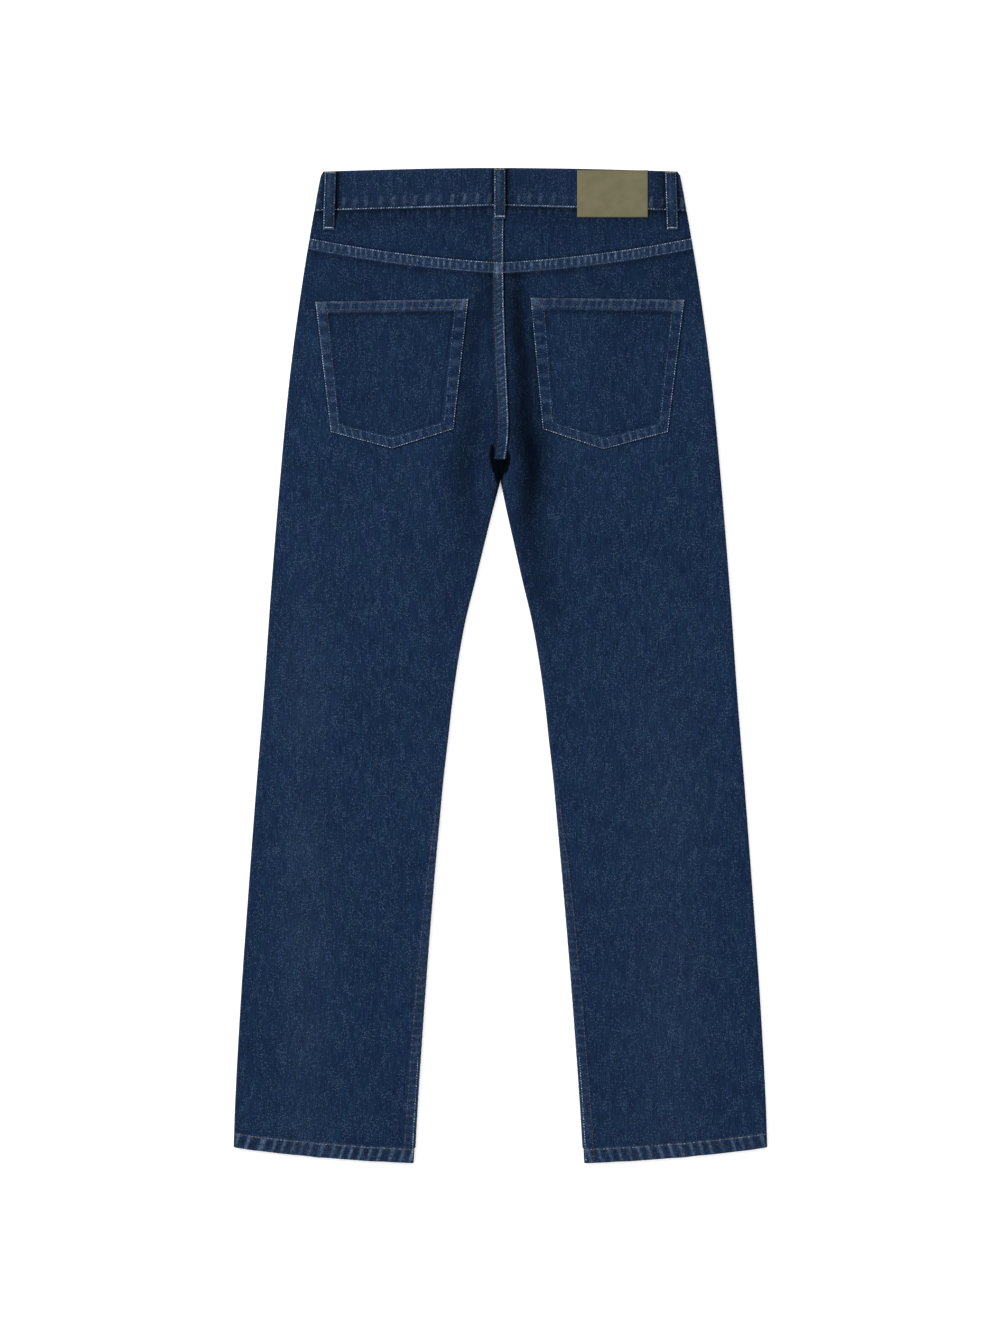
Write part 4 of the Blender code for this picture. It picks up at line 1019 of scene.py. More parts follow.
def scoop_point(angle, reach):
    """(u, y) on the pocket opening's curve: 0 degrees at the waistband, 90 at the side seam."""
    theta = math.radians(angle)
    y = SIDE_WAIST - SCOOP_DEEP * reach * math.sin(theta)
    for _ in range(4):
        u = float(side_seam(y)) - GAP - SCOOP_WIDE * reach * math.cos(theta)
        y = float(front_waist_seam(u)) - GAP - SCOOP_DEEP * reach * math.sin(theta)
    return u, y


def front_rows():
    """(base, outer end) of each row of a front panel; the end is None below the pocket opening."""
    rows = []
    for angle in np.linspace(0.0, 90.0, 31):
        u, y = scoop_point(angle, 1.0)
        base = y
        for _ in range(12):
            base += y - float(row_height(front_waist_seam, base, u))
        rows.append((base, u))
    hem_top = HEM_INNER + HEM_DEEP
    lower = np.concatenate([
        np.linspace(rows[-1][0] - 0.003, 0.215, 46),
        np.linspace(0.212, 0.183, 12),
        np.linspace(0.179, hem_top + STEP, 160),
        np.linspace(hem_top - STEP, HEM_INNER, 8),
    ])
    return rows + [(base, None) for base in lower]


def front_panel(side):
    name = "front_panel_" + SIDE_WORD[side]
    face = lapped_face if side > 0 else lower_face
    grid, plans, ends, edges = [], [], [], []
    t = np.linspace(0.0, 1.0, ROLL_COLUMNS)
    for base, outer_end in front_rows():

        def line(u, base=base):
            return row_height(front_waist_seam, base, u)

        y_edge = float(line(max(float(front_inner_edge(side, base)), 0.0)))
        edge = float(front_inner_edge(side, y_edge))
        roll = float(ease((FORK - y_edge) / FORK_RUN))
        radius = mix(INNER_RADIUS, 0.5 * FORK_RADIUS, float(bell(y_edge - FORK, FORK_REACH)))
        y_side = float(line(side_seam(base)))
        end = float(side_seam(y_side)) - GAP if outer_end is None else outer_end
        u = edge + radius * mix(t, 1.0 - np.cos(0.5 * np.pi * t), roll)
        floor = face(side * u, line(u))
        meeting = INNER_RADIUS - 0.5 * GAP - 0.0008 * float(bell(y_edge - FORK, 0.012))
        z = mix(floor, meeting + (floor - meeting) * np.sin(0.5 * np.pi * t), roll)
        rest = np.linspace(edge + radius, end, 60)[1:]
        all_u = np.concatenate([u, rest])
        all_z = np.concatenate([z, face(side * rest, line(rest))])
        grid.append(np.stack([side * all_u, line(all_u), all_z], axis=-1))
        plans.append(all_u)
        ends.append(np.full_like(all_u, end))
        edges.append(np.full_like(all_u, edge))
    grid, plan, end, edge = np.array(grid), np.array(plans), np.array(ends), np.array(edges)
    y = grid[..., 1]
    above_hem = y - hem_line(plan)
    hem_band = band_beside(above_hem, HEM_DEEP)
    seed = 220 if side < 0 else 260
    count, high, crest = pleats(plan + 0.32 * above_hem, 0.0110, seed)
    dots = speckle(plan, y, seed + 4)
    # The face that lies on the table is drawn in, never out, so that it rests flat
    relief = -0.00030 * hem_band * (1.0 - crest) - 0.00015 * bell(plan - edge - 0.0016, 0.0006) * (y > 0.21)
    wear_and_light = 0.010 * hem_band + 0.050 * bell(above_hem - HEM_DEEP + 0.0012, 0.0012) * dots
    in_scoop = (y > SIDE_WAIST - SCOOP_DEEP - 0.016) * 1.0
    wear_and_light += 0.12 * bell(end - plan, 0.0012) * in_scoop * dots
    wear_and_light += 0.08 * bell(plan - edge, 0.0012) * (y > FLY_BOTTOM) * dots
    wear_and_light += 0.03 * bell(end - plan, 0.0020) * (1.0 - in_scoop) * dots
    wear_and_light += 0.012 * bell(plan - 0.12, 0.05) * bell(y - 0.22, 0.12)
    pattern = np.stack([side * plan, y], axis=-1)
    drawn = 0.15 * hem_band * high
    wear = wear_light_and_shade(wear_and_light, 0.04, palest=0.9, pleat=count, drawn=drawn, sunk=0.25 * hem_band)
    shell(name, grid, relief, mix(CLOTH, HEM_CLOTH, hem_band), pattern, wear, body_denim, side > 0)
    declare(name)


def pocket_facing(side):
    name = "pocket_facing_" + SIDE_WORD[side]
    reaches = (FACING_REACH, 1.10, 1.06, 1.02, 0.99, 0.955, 0.92, 0.885)
    reaches += (0.85, 0.78, 0.68, 0.58, 0.50, 0.38, 0.25)
    grid = []
    for angle in np.linspace(0.0, 90.0, 31):
        theta = math.radians(angle)
        points = []
        for reach in reaches:
            u, y = scoop_point(angle, reach)
            lap = 1.0 - float(ease((0.99 - reach) / 0.14))
            points.append((side * u, y, float(lower_face(side * u, y)) + (CLOTH + GAP) * lap))
        along_waist = max(0.0, 1.0 - math.tan(min(theta, 0.25 * math.pi)))
        along_side = max(0.0, 1.0 - math.tan(min(0.5 * math.pi - theta, 0.25 * math.pi)))
        y = SIDE_WAIST - GAP - SCOOP_DEEP * 0.12 * along_side
        u = float(side_seam(y)) - GAP - SCOOP_WIDE * 0.12 * along_waist
        y += float(front_waist_seam(u)) - SIDE_WAIST
        # A hair further out on the first and last rows, so that they don't fold over at the corner
        points.append((side * (u + 0.00012 * (angle == 90.0)), y + 0.00015 * (angle == 0.0), 0.0))
        grid.append(points)
    grid = np.array(grid)
    shell(name, grid, 0.0, CLOTH, grid[..., :2].copy(), {"wear_and_light": 0.010, "deep": 0.08}, body_denim, side > 0)
    declare(name)


# ---------------------------------------------------------------- waistband


def waistband():
    shares = np.concatenate([[0.0, 0.02, 0.045], np.linspace(0.08, 0.92, 22), [0.955, 0.98, 1.0]])
    right_front = np.linspace(-UNDERLAP, 0.165, 100)
    back = np.linspace(0.1900, -0.1900, 250)
    left_front = np.linspace(0.165, -FLY_EDGE, 84)
    turn = np.radians(np.linspace(90.0, -90.0, 15))
    rows = []

    def front_row(side, u):
        deep = BAND_DEEP + (SIDE_TOP - SIDE_WAIST - BAND_DEEP) * (u / WAIST_HALF) ** 2
        y = front_waist_seam(u) + shares * deep
        face = lapped_face if side > 0 else lower_face
        return np.stack([np.full_like(y, side * u), y, face(side * u, y)], axis=-1)

    def fold_row(side, theta):
        y = mix(SIDE_WAIST, SIDE_TOP, shares)
        fold = read(OUTER_FOLD, y)
        radius = 0.5 * (EDGE_HIGH - CLOTH + BAND_CLOTH)
        y = y - BAND_CORNER * shares ** 3 * math.cos(theta)
        x = side * (fold - radius + radius * math.cos(theta))
        return np.stack([x, y, np.full_like(y, radius + radius * math.sin(theta))], axis=-1)

    for u in right_front:
        rows.append(front_row(1, u))
    for theta in turn[::-1]:
        rows.append(fold_row(1, theta))
    for x in back:
        y = mix(back_waist_seam(x), back_waist_top(x), shares)
        rows.append(np.stack([np.full_like(y, x), y, upper_face(x, y) + BAND_CLOTH - CLOTH], axis=-1))
    for theta in turn:
        rows.append(fold_row(-1, theta))
    for u in left_front:
        rows.append(front_row(-1, u))
    grid = np.array(rows)
    on_back = np.zeros(len(rows), bool)
    on_back[len(right_front) + len(turn) : len(right_front) + len(turn) + len(back)] = True
    on_back = on_back[:, None]
    run = np.linalg.norm(np.diff(grid[:, 12], axis=0), axis=1)
    along = np.concatenate([[0.0], np.cumsum(run)])[:, None] + np.zeros(len(shares))
    height = shares[None, :] * BAND_DEEP + np.zeros((len(rows), 1))
    from_top = BAND_DEEP - height
    count, high, crest = pleats(along + 0.15 * height, 0.0125, 301)
    low_strip = (1.0 - ease((height - 0.0098) / 0.0018)) * ease(height / 0.0014)
    dots = speckle(height, along, 305)
    relief = 0.00030 * low_strip * (crest - 0.5)
    relief -= 0.00050 * edge_round(height) + 0.00060 * (1.0 - ease(from_top / 0.0020))
    relief -= 0.00016 * bell(height - 0.0022, 0.0006) + 0.00010 * bell(height - 0.0112, 0.0009)
    relief = np.where(on_back, relief, np.minimum(relief, 0.0))
    wear_and_light = 0.17 * bell(height - 0.0001, 0.0008) * np.clip(0.75 + 0.55 * uneven(along, 0.0230, 311), 0.25, 1.3)
    wear_and_light += 0.030 * bell(height - 0.0106, 0.0008) * np.clip(uneven(along, 0.0170, 317), 0.0, 1.0)
    wear_and_light += 0.012 * bell(from_top - 0.0010, 0.0016) + 0.004 * low_strip
    drawn = 0.125 * high * (0.5 + 0.5 * dots) * ease((height - 0.0020) / 0.004)
    drawn *= 1.0 - ease((height - 0.0118) / 0.003)
    x, y = grid[..., 0], grid[..., 1]
    # Painted shadow beside the loops at the back
    deep = np.maximum(0.02, loop_shade(x, y) * on_back) + 0.10 * low_strip * bell(height - 0.004, 0.004)
    pattern = np.stack([along + 0.31, height + 0.7], axis=-1)
    wear = wear_light_and_shade(wear_and_light, deep, pleat=count, drawn=drawn, sunk=0.12 * low_strip)
    shell("waistband", grid, relief, BAND_CLOTH, pattern, wear, band_denim, True)
    declare("waistband")


# ---------------------------------------------------------------- pieces laid on the panels


def pocket_plan(side, share, down):
    """(x, y) inside a pocket: share from the inner to the outer side, down from its top to its low edge."""
    inner_top, outer_top, inner_low, outer_low, tip = POCKETS[side]
    point = (tip[0] - inner_low[0]) / (outer_low[0] - inner_low[0])
    top = mix(inner_top[1], outer_top[1], share)
    before = mix(inner_low[1], tip[1], share / point)
    after = mix(tip[1], outer_low[1], (share - point) / (1.0 - point))
    low = np.where(share < point, before, after)
    inner = mix(inner_top[0], inner_low[0], down)
    outer = mix(outer_top[0], outer_low[0], down)
    return side * mix(inner, outer, share), mix(top, low, down)


def back_pocket(side):
    name = "back_pocket_" + SIDE_WORD[side]
    ends = (0.0, 0.004, 0.009)
    shares = np.concatenate([ends, np.linspace(0.016, 0.984, 104), [0.991, 0.996, 1.0]])
    downs = np.concatenate([ends, np.linspace(0.016, 0.984, 98), [0.991, 0.996, 1.0]])
    share, down = np.meshgrid(shares, downs)
    x, y = pocket_plan(side, share, down)
    grid = np.stack([x, y, upper_face(x, y) + GAP + CLOTH], axis=-1)
    inner_top, outer_top, inner_low, outer_low, _ = POCKETS[side]
    wide = mix(outer_top[0] - inner_top[0], outer_low[0] - inner_low[0], down)
    top_y, low_y = pocket_plan(side, share, 0.0 * down)[1], pocket_plan(side, share, 0.0 * down + 1.0)[1]
    from_inner, from_outer = share * wide, (1.0 - share) * wide
    from_top, from_low = top_y - y, (y - low_y) * 0.965
    from_side = np.minimum(0.86 * from_inner, from_outer)
    from_edge = np.minimum(from_side, from_low)
    from_rim = np.minimum(from_edge, from_top)
    seed = 420 if side < 0 else 460
    hem = band_beside(from_top, POCKET_HEM)
    band = np.maximum(hem, band_beside(from_edge, POCKET_TURN))
    along_side = y + np.where(from_inner < from_outer, 0.0, 0.31)
    kinds = (
        pleats(x + 0.2 * from_top, 0.0094, seed),
        pleats(along_side, 0.0148, seed + 3),
        pleats(x + 0.25 * y, 0.0088, seed + 6),
    )
    at_top, at_side = from_top < POCKET_HEM + STEP, from_side < from_low
    count, high, crest = (
        np.select([at_top, at_side], [top, beside], low) for top, beside, low in zip(*kinds)
    )
    dots = speckle(x, y, seed + 9)
    relief = FELL_RISE * band - 0.00085 * edge_round(from_rim)
    relief += 0.00028 * band * (crest - PLEAT_MEAN)
    rows = lines(from_edge, (0.0011, 0.0105), 0.0006) + lines(from_top, (0.0021, 0.0088), 0.0006)
    relief -= 0.00016 * np.clip(rows, 0.0, 1.0)
    # Pale wear along the edges, with painted light added on the left pocket's outer side, which faces the
    # light
    outer_left = (from_outer < from_inner) & (side < 0)
    side_wear_and_light = np.where(outer_left, 0.090, np.where(from_outer < from_inner, 0.075, 0.035))
    edge_wear = np.where(at_side, side_wear_and_light, 0.120)
    wear_and_light = edge_wear * bell(from_edge - 0.0003, 0.0007) * dots
    wear_and_light += 0.170 * bell(from_top - 0.0005, 0.0012) * dots * (0.9 + 0.5 * uneven(x, 0.009, seed + 15))
    corner_wear = 0.060 * (1.0 - ease((from_top - 0.0100) / 0.0030))
    wear_and_light += corner_wear * (1.0 - ease((from_side - 0.0085) / 0.0030)) * dots
    wear_and_light += band * np.where(at_top, 0.008, np.where(at_side, np.where(outer_left, 0.012, 0.000), 0.008))
    wear_and_light += 0.050 * bell(from_top - 0.0107, 0.0008) * dots
    wear_and_light += 0.090 * bell(from_top - 0.0050, 0.0048) * bell(from_side - 0.0035, 0.0030) * dots
    drawn = band * high * np.where(at_side & ~at_top, np.where(outer_left, 0.08, 0.05), 0.10)
    drawn *= ease(from_rim / 0.002) * (1.0 - ease((from_rim - 0.0084) / 0.0034))
    single = 1.0 - band
    # Painted shade just beyond the steps of the turned band and the hem's band
    deep = 0.22 * bell(from_edge - 0.0135, 0.0014) * single
    deep += 0.34 * bell(from_top - 0.0145, 0.0022) * single
    deep += single * (0.09 + 0.10 * bell(from_top, 0.0300) + 0.05 * uneven(x, 0.030, seed + 12))
    # Painted shade of the trough beside the seat seam, which also dims the pale of wear on the right pocket
    # there
    trough = along_paths(DARK_TROUGHS, x, y)
    shaded = 1.0 - 0.9 * ease((trough - 0.10) / 0.40) * ease((from_top - 0.004) / 0.012) * (side > 0)
    wear_and_light, drawn = wear_and_light * shaded, drawn * shaded
    deep = np.maximum(deep, trough * (0.85 if side > 0 else 0.6) * (0.4 + 0.6 * ease(from_top / 0.012)))
    pattern = np.stack([x + 0.4, y + 0.2], axis=-1)
    wear = wear_light_and_shade(wear_and_light, deep, darkest=0.9, pleat=count, drawn=drawn, sunk=0.12 * band)
    shell(name, grid, relief, CLOTH, pattern, wear, body_denim, side < 0)
    declare(name)


def belt_loop(place, top, low, cover, on_top):
    """Folded strap from (x, y) at its top end to its low end, on the given face."""
    name = "belt_loop_" + place
    share, across = np.meshgrid(np.linspace(0.0, 1.0, 46), np.linspace(-0.5, 0.5, 13), indexing="ij")
    length = math.hypot(top[0] - low[0], top[1] - low[1])
    x = mix(top[0], low[0], share) + across * LOOP_WIDE
    y = mix(top[1], low[1], share)
    if on_top:
        z = cover(x, y) + GAP + LOOP_CLOTH + LOOP_BOW * np.sin(np.pi * share)
    else:
        z = np.zeros_like(x)
    grid = np.stack([x, y, z], axis=-1)
    beside = np.abs(across) * LOOP_WIDE
    from_end = np.minimum(share, 1.0 - share) * length
    seed = 500 + sum(map(ord, place))
    relief = 0.00022 * bell(beside, 0.0016) - 0.00075 * ease((beside - 0.0049) / 0.0013)
    relief -= 0.00020 * bell(beside - 0.0044, 0.0005)
    relief -= 0.00045 * bell(from_end - 0.0030, 0.0012) + 0.00060 * (1.0 - ease(from_end / 0.0008))
    relief = relief if on_top else np.minimum(relief, 0.0)
    dots = speckle(across * LOOP_WIDE, share * length, seed)
    at_edge = bell(beside - 0.0056, 0.0008)
    wear_and_light = 0.006 + 0.090 * at_edge * dots
    ridge = bell(across * LOOP_WIDE + 0.0012, 0.0016) * (1.0 - 0.8 * ease((share - 0.35) / 0.40))
    wear_and_light += 0.060 * ridge * (0.6 + 0.4 * uneven(share * length, 0.006, seed + 1))
    wear_and_light += bell(from_end - 0.0005, 0.0009) * (0.06 + 0.16 * bell(beside - 0.0050, 0.0014))
    # Painted shade in the grooves beside the stitching and across the ends; darker towards the low end
    deep = 0.26 * bell(beside - 0.0038, 0.0010) + 0.20 * bell(from_end - 0.0030, 0.0010)
    deep += 0.16 * ease((share - 0.45) / 0.35)
    pattern_x, pattern_y = 0.01 * (seed % 7), 0.1 * (seed % 11)
    pattern = np.stack([across * LOOP_WIDE + 0.9 + pattern_x, share * length + pattern_y], axis=-1)
    shell(name, grid, relief, LOOP_CLOTH, pattern, wear_light_and_shade(wear_and_light, deep), band_denim, not on_top)
    declare(name)


def waist_patch():
    def spread(count):
        middle = np.linspace(0.05, 0.95, count)
        return np.concatenate([[0.0, 0.006, 0.014, 0.026], middle, [0.974, 0.986, 0.994, 1.0]])

    share, down = np.meshgrid(spread(44), spread(30))
    wide, tall = PATCH_RIGHT - PATCH_LEFT, PATCH_TOP - PATCH_LOW
    x = mix(PATCH_LEFT, PATCH_RIGHT, share)
    y = mix(PATCH_TOP, PATCH_LOW, down)
    grid = np.stack([x, y, waist_cover(x, y) + GAP + PATCH_CLOTH], axis=-1)
    from_side = np.minimum(share, 1.0 - share) * wide
    from_end = np.minimum(down, 1.0 - down) * tall
    from_edge = np.minimum(from_side, from_end)
    relief = -0.00045 * (1.0 - ease(from_edge / 0.0010)) - 0.00012 * bell(from_edge - 0.0024, 0.0006)
    deep = 0.55 * bell(from_edge, 0.0007) + 0.10 * bell(from_edge - 0.0026, 0.0006)
    pattern = np.stack([x, y], axis=-1)
    shell("waist_patch", grid, relief, PATCH_CLOTH, pattern, {"deep": deep}, leather, False)
    declare("waist_patch")


for wearer_side in (-1, 1):
    back_panel(wearer_side)
    back_yoke(wearer_side)
    front_panel(wearer_side)
    pocket_facing(wearer_side)
    back_pocket(wearer_side)
waistband()
side_loop_top = float(back_waist_top(SIDE_LOOP_TOP_X)) - LOOP_INSET
front_loop_top = float(front_waist_seam(FRONT_LOOP_X)) + BAND_DEEP - LOOP_INSET
front_loop_low = front_loop_top - FRONT_LOOP_LONG
# Loops at the back: place, (x, y) at the top end and at the low end
BACK_LOOPS = (
    ("back_centre", (CENTRE_LOOP_X, BACK_TOP - LOOP_INSET), (CENTRE_LOOP_X, CENTRE_LOOP_LOW)),
    ("back_left", (-SIDE_LOOP_TOP_X, side_loop_top), (-SIDE_LOOP_LOW_X, SIDE_LOOP_LOW)),
    ("back_right", (SIDE_LOOP_TOP_X, side_loop_top), (SIDE_LOOP_LOW_X, SIDE_LOOP_LOW)),
)
belt_loop(*BACK_LOOPS[0], waist_cover, True)
for wearer_side, back_loop in zip((-1, 1), BACK_LOOPS[1:]):
    belt_loop(*back_loop, waist_cover, True)
    loop_x = wearer_side * FRONT_LOOP_X
    ends = (loop_x, front_loop_top), (loop_x, front_loop_low)
    belt_loop("front_" + SIDE_WORD[wearer_side], *ends, lower_face, False)
waist_patch()

# ---------------------------------------------------------------- sewing


def sewing_tree():
    """Stitches along paths: short rounded strokes at an even pitch, laid along the path or across it."""
    tree = bpy.data.node_groups.new("sewing", "GeometryNodeTree")
    face = tree.interface
    face.new_socket("Geometry", in_out="INPUT", socket_type="NodeSocketGeometry")
    for label in ("Pitch", "Stitch Length", "Thread Width", "Turn", "Unevenness"):
        face.new_socket(label, in_out="INPUT", socket_type="NodeSocketFloat")
    face.new_socket("Seed", in_out="INPUT", socket_type="NodeSocketInt")
    face.new_socket("Thread", in_out="INPUT", socket_type="NodeSocketMaterial")
    face.new_socket("Geometry", in_out="OUTPUT", socket_type="NodeSocketGeometry")
    given = add(tree, "NodeGroupInput", out=None).outputs
    curve = add(tree, "GeometryNodeMeshToCurve", (given["Geometry"],))
    even = add(tree, "GeometryNodeResampleCurve", {"Curve": curve, "Length": given["Pitch"]}, mode="LENGTH")
    spots = add(tree, "GeometryNodeCurveToPoints", {"Curve": even}, None, mode="EVALUATED").outputs
    heading = add(tree, "FunctionNodeAlignRotationToVector", {"Vector": spots["Tangent"]}, axis="X")
    least = add(tree, MATH, (1.0, given["Unevenness"]), operation="SUBTRACT")
    drawn = []
    for low, high in ((-0.16, 0.16), (least, 1.1), (0.0, 1.0)):
        inputs = {"Min": low, "Max": high, "Seed": given["Seed"]}
        drawn.append(add(tree, "FunctionNodeRandomValue", inputs, "Value", data_type="FLOAT"))
    sway, grow, fade = drawn
    angle = add(tree, MATH, (given["Turn"], sway), **PLUS)
    spin = add(tree, "FunctionNodeAxisAngleToRotation", {"Axis": (0.0, 0.0, 1.0), "Angle": angle})
    inputs = {"Rotation": heading, "Rotate By": spin}
    turned = add(tree, "FunctionNodeRotateRotation", inputs, rotation_space="LOCAL")
    width = given["Thread Width"]
    size = add(tree, "ShaderNodeCombineXYZ", (given["Stitch Length"], width, width))
    ball = add(tree, "GeometryNodeMeshUVSphere", {"Segments": 6, "Rings": 4, "Radius": 0.5}, "Mesh")
    stroke = add(tree, "GeometryNodeTransform", {"Geometry": ball, "Scale": size})
    inputs = {"Points": spots["Points"], "Instance": stroke, "Rotation": turned, "Scale": grow}
    laid = add(tree, "GeometryNodeInstanceOnPoints", inputs)
    inputs = {"Geometry": laid, "Name": "rub", "Value": fade}
    kept = add(tree, "GeometryNodeStoreNamedAttribute", inputs, data_type="FLOAT", domain="INSTANCE")
    real = add(tree, "GeometryNodeRealizeInstances", (kept,))
    smooth = add(tree, "GeometryNodeSetShadeSmooth", {"Geometry": real})
    coloured = add(tree, "GeometryNodeSetMaterial", {"Geometry": smooth, "Material": given["Thread"]})
    add(tree, "NodeGroupOutput", (coloured,), None)
    return tree


def laid_on(piece_names, path, underneath):
    """Points of a path (x, y) put on the outer face of the first of these pieces that is there."""
    start, way = (-0.02, 1.0) if underneath else (0.05, -1.0)
    points = []
    for x, y in path:
        for piece_name in piece_names:
            hit = outer_faces[piece_name].ray_cast(Vector((x, y, start)), Vector((0.0, 0.0, way)))[0]
            if hit is not None:
                points.append((hit.x, hit.y, hit.z + (0.00007 if underneath else 0.00005)))
                break
    return points


def line_of(function, start, end, count=120):
    """Points (x, y) of a path given as function(t) for t from start to end."""
    return [function(t) for t in np.linspace(start, end, count)]


def hem_row(side, start, end, count):
    """The hem's sewn row, from one u to another."""
    return line_of(lambda u: (side * u, float(hem_line(u)) + HEM_DEEP - 0.0014), start, end, count)


def pocket_point(side, share, down):
    """A single place on a pocket, as plain numbers."""
    return tuple(float(part) for part in pocket_plan(side, share, down))


def between(first, second):
    """Points of a straight row, about 2 mm apart."""
    count = max(4, int(math.dist(first, second) / 0.002))
    return [(mix(first[0], second[0], t), mix(first[1], second[1], t)) for t in np.linspace(0.0, 1.0, count)]


def paths_on_back():
    """Gives (thread, pieces, path) of each sewn row that shows from above."""
    panels = ["back_panel_left", "back_panel_right"]
    for below, kind in ((0.0008, "pale"), (0.0110, "stained")):
        row = line_of(lambda x, d=below: (x, float(yoke_seam(x)) - d), -0.2055, 0.2055, 420)
        yield kind, panels, row
    for inward, kind in ((0.0010, "pale"), (0.0098, "tobacco")):
        for piece, span in (
            ("back_yoke_left", (0.4775, 0.4325, 60)),
            ("back_panel_left", (0.4195, SEAT_END, 200)),
        ):
            row = line_of(lambda y, d=inward: (float(read(SEAT_SEAM, y)) - d, y), *span)
            yield kind, [piece], row
    for side in (-1, 1):
        panel = ["back_panel_" + SIDE_WORD[side]]

        def inseam(y, side=side):
            return side * (float(inner_fold(side, y)) + float(read(INSEAM_FELL, y)) - 0.0014), y

        def beside_fold(y, side=side):
            return side * (float(inner_fold(side, y)) + 0.0022), y

        yield "tobacco", panel, line_of(inseam, -0.150, -0.5290, 300)
        yield "pale", panel, line_of(beside_fold, -0.420, -0.5290, 80)
        hem_start = float(inner_fold(side, -0.52)) + 0.0015
        yield "khaki", panel, hem_row(side, hem_start, 0.2852, 140)

    # The waistband's low row, where no loop or patch covers it
    for x0, x1 in (
        (-0.1955, -0.1905), (-0.1765, -0.0080), (0.0062, 0.0812), (0.1585, 0.1765), (0.1905, 0.1955),
    ):
        count = max(6, int((x1 - x0) / 0.002))
        row = line_of(lambda x: (x, float(back_waist_seam(x)) + 0.0011), x0, x1, count)
        yield "pale", ["waistband"], row

    for side in (-1, 1):
        pocket = ["back_pocket_" + SIDE_WORD[side]]
        inner_low, outer_low, tip = POCKETS[side][2:]
        point = (tip[0] - inner_low[0]) / (outer_low[0] - inner_low[0])
        for inset, inner_inset, kind in ((0.0007, 0.0007, "pale"), (0.0105, 0.0122, "stained")):
            d, top = inset / POCKET_WIDE, 0.010
            inner, outer = inner_inset / POCKET_WIDE, 1.0 - d
            low, tip_low = 1.0 - d, 1.0 - d * 0.92
            corners = ((inner, top), (inner, low), (point, tip_low), (outer, low), (outer, top))
            plan = [pocket_point(side, share, down) for share, down in corners]
            path = []
            for first, second in zip(plan, plan[1:]):
                path += between(first, second)[:-1]
            path.append(plan[-1])
            cut = 0 if kind == "pale" else 14
            yield kind, pocket, path[cut : len(path) - cut]
            if cut:
                yield "tobacco", pocket, path[:cut]
                yield "tobacco", pocket, path[-cut:]
        for inset in (0.0021, 0.0088):
            ends = [pocket_point(side, share, inset / POCKET_SIDE) for share in (0.009, 0.991)]
            yield "tobacco", pocket, between(*ends)

    for place, top, low in BACK_LOOPS:
        for offset, kind in ((-0.0051, "pale"), (0.0051, "stained")):
            row = between((top[0] + offset, top[1] - 0.001), (low[0] + offset, low[1] + 0.002))
            yield kind, ["belt_loop_" + place], row


def paths_underneath():
    """The same for the rows on the front, which lies on the table."""
    for side in (-1, 1):
        panel = ["front_panel_" + SIDE_WORD[side]]
        yield "tobacco", panel, hem_row(side, 0.0935, 0.2690, 90)
        for reach in (1.020, 1.110):
            scoop = line_of(lambda a, r=reach: scoop_point(a, r), 2.0, 88.0, 60)
            yield "tobacco", panel, [(side * u, y) for u, y in scoop]
    fly_panel = ["front_panel_left"]
    for inset in (0.0015, 0.0085):
        x = FLY_EDGE - inset
        yield "tobacco", fly_panel, between((x, 0.462), (x, 0.335))
    angles = [math.radians(angle) for angle in np.linspace(4.0, 90.0, 40)]
    curve = [(FLY_EDGE - 0.037 * math.sin(a), 0.345 - 0.036 * math.cos(a)) for a in angles]
    curve += between((FLY_EDGE - 0.037, 0.347), (FLY_EDGE - 0.037, 0.462))
    yield "tobacco", fly_panel, curve
    for side, start in ((-1, 0.001), (1, 0.004)):
        for up in (0.0014, BAND_DEEP - 0.0018):
            for u0, u1 in ((start, 0.0625), (0.0775, 0.180)):
                row = line_of(lambda u, s=side, h=up: (s * u, float(front_waist_seam(u)) + h), u0, u1, 60)
                yield "tobacco", ["waistband"], row
        name = "belt_loop_front_" + SIDE_WORD[side]
        for offset in (-0.0044, 0.0044):
            x = side * FRONT_LOOP_X + offset
            yield "pale", [name], between((x, front_loop_top - 0.001), (x, front_loop_low + 0.002))


def tack_paths():
    """Gives the bar tacks at the loops' ends and the fly: (thread, pieces, path, underneath)."""
    for place, top, low in BACK_LOOPS:
        for thread_kind, end, step in (("pale", low, 0.0026), ("khaki", top, -0.0012)):
            row = between((end[0] - 0.0050, end[1] + step), (end[0] + 0.0050, end[1] + step))
            yield thread_kind, ["belt_loop_" + place], row, False
    for side in (-1, 1):
        x = side * FRONT_LOOP_X
        for y in (front_loop_top - 0.0016, front_loop_low + 0.0032):
            row = between((x - 0.005, y), (x + 0.005, y))
            yield "khaki", ["belt_loop_front_" + SIDE_WORD[side]], row, True
    yield "khaki", ["front_panel_left"], between((-0.001, 0.330), (-0.010, 0.323)), True


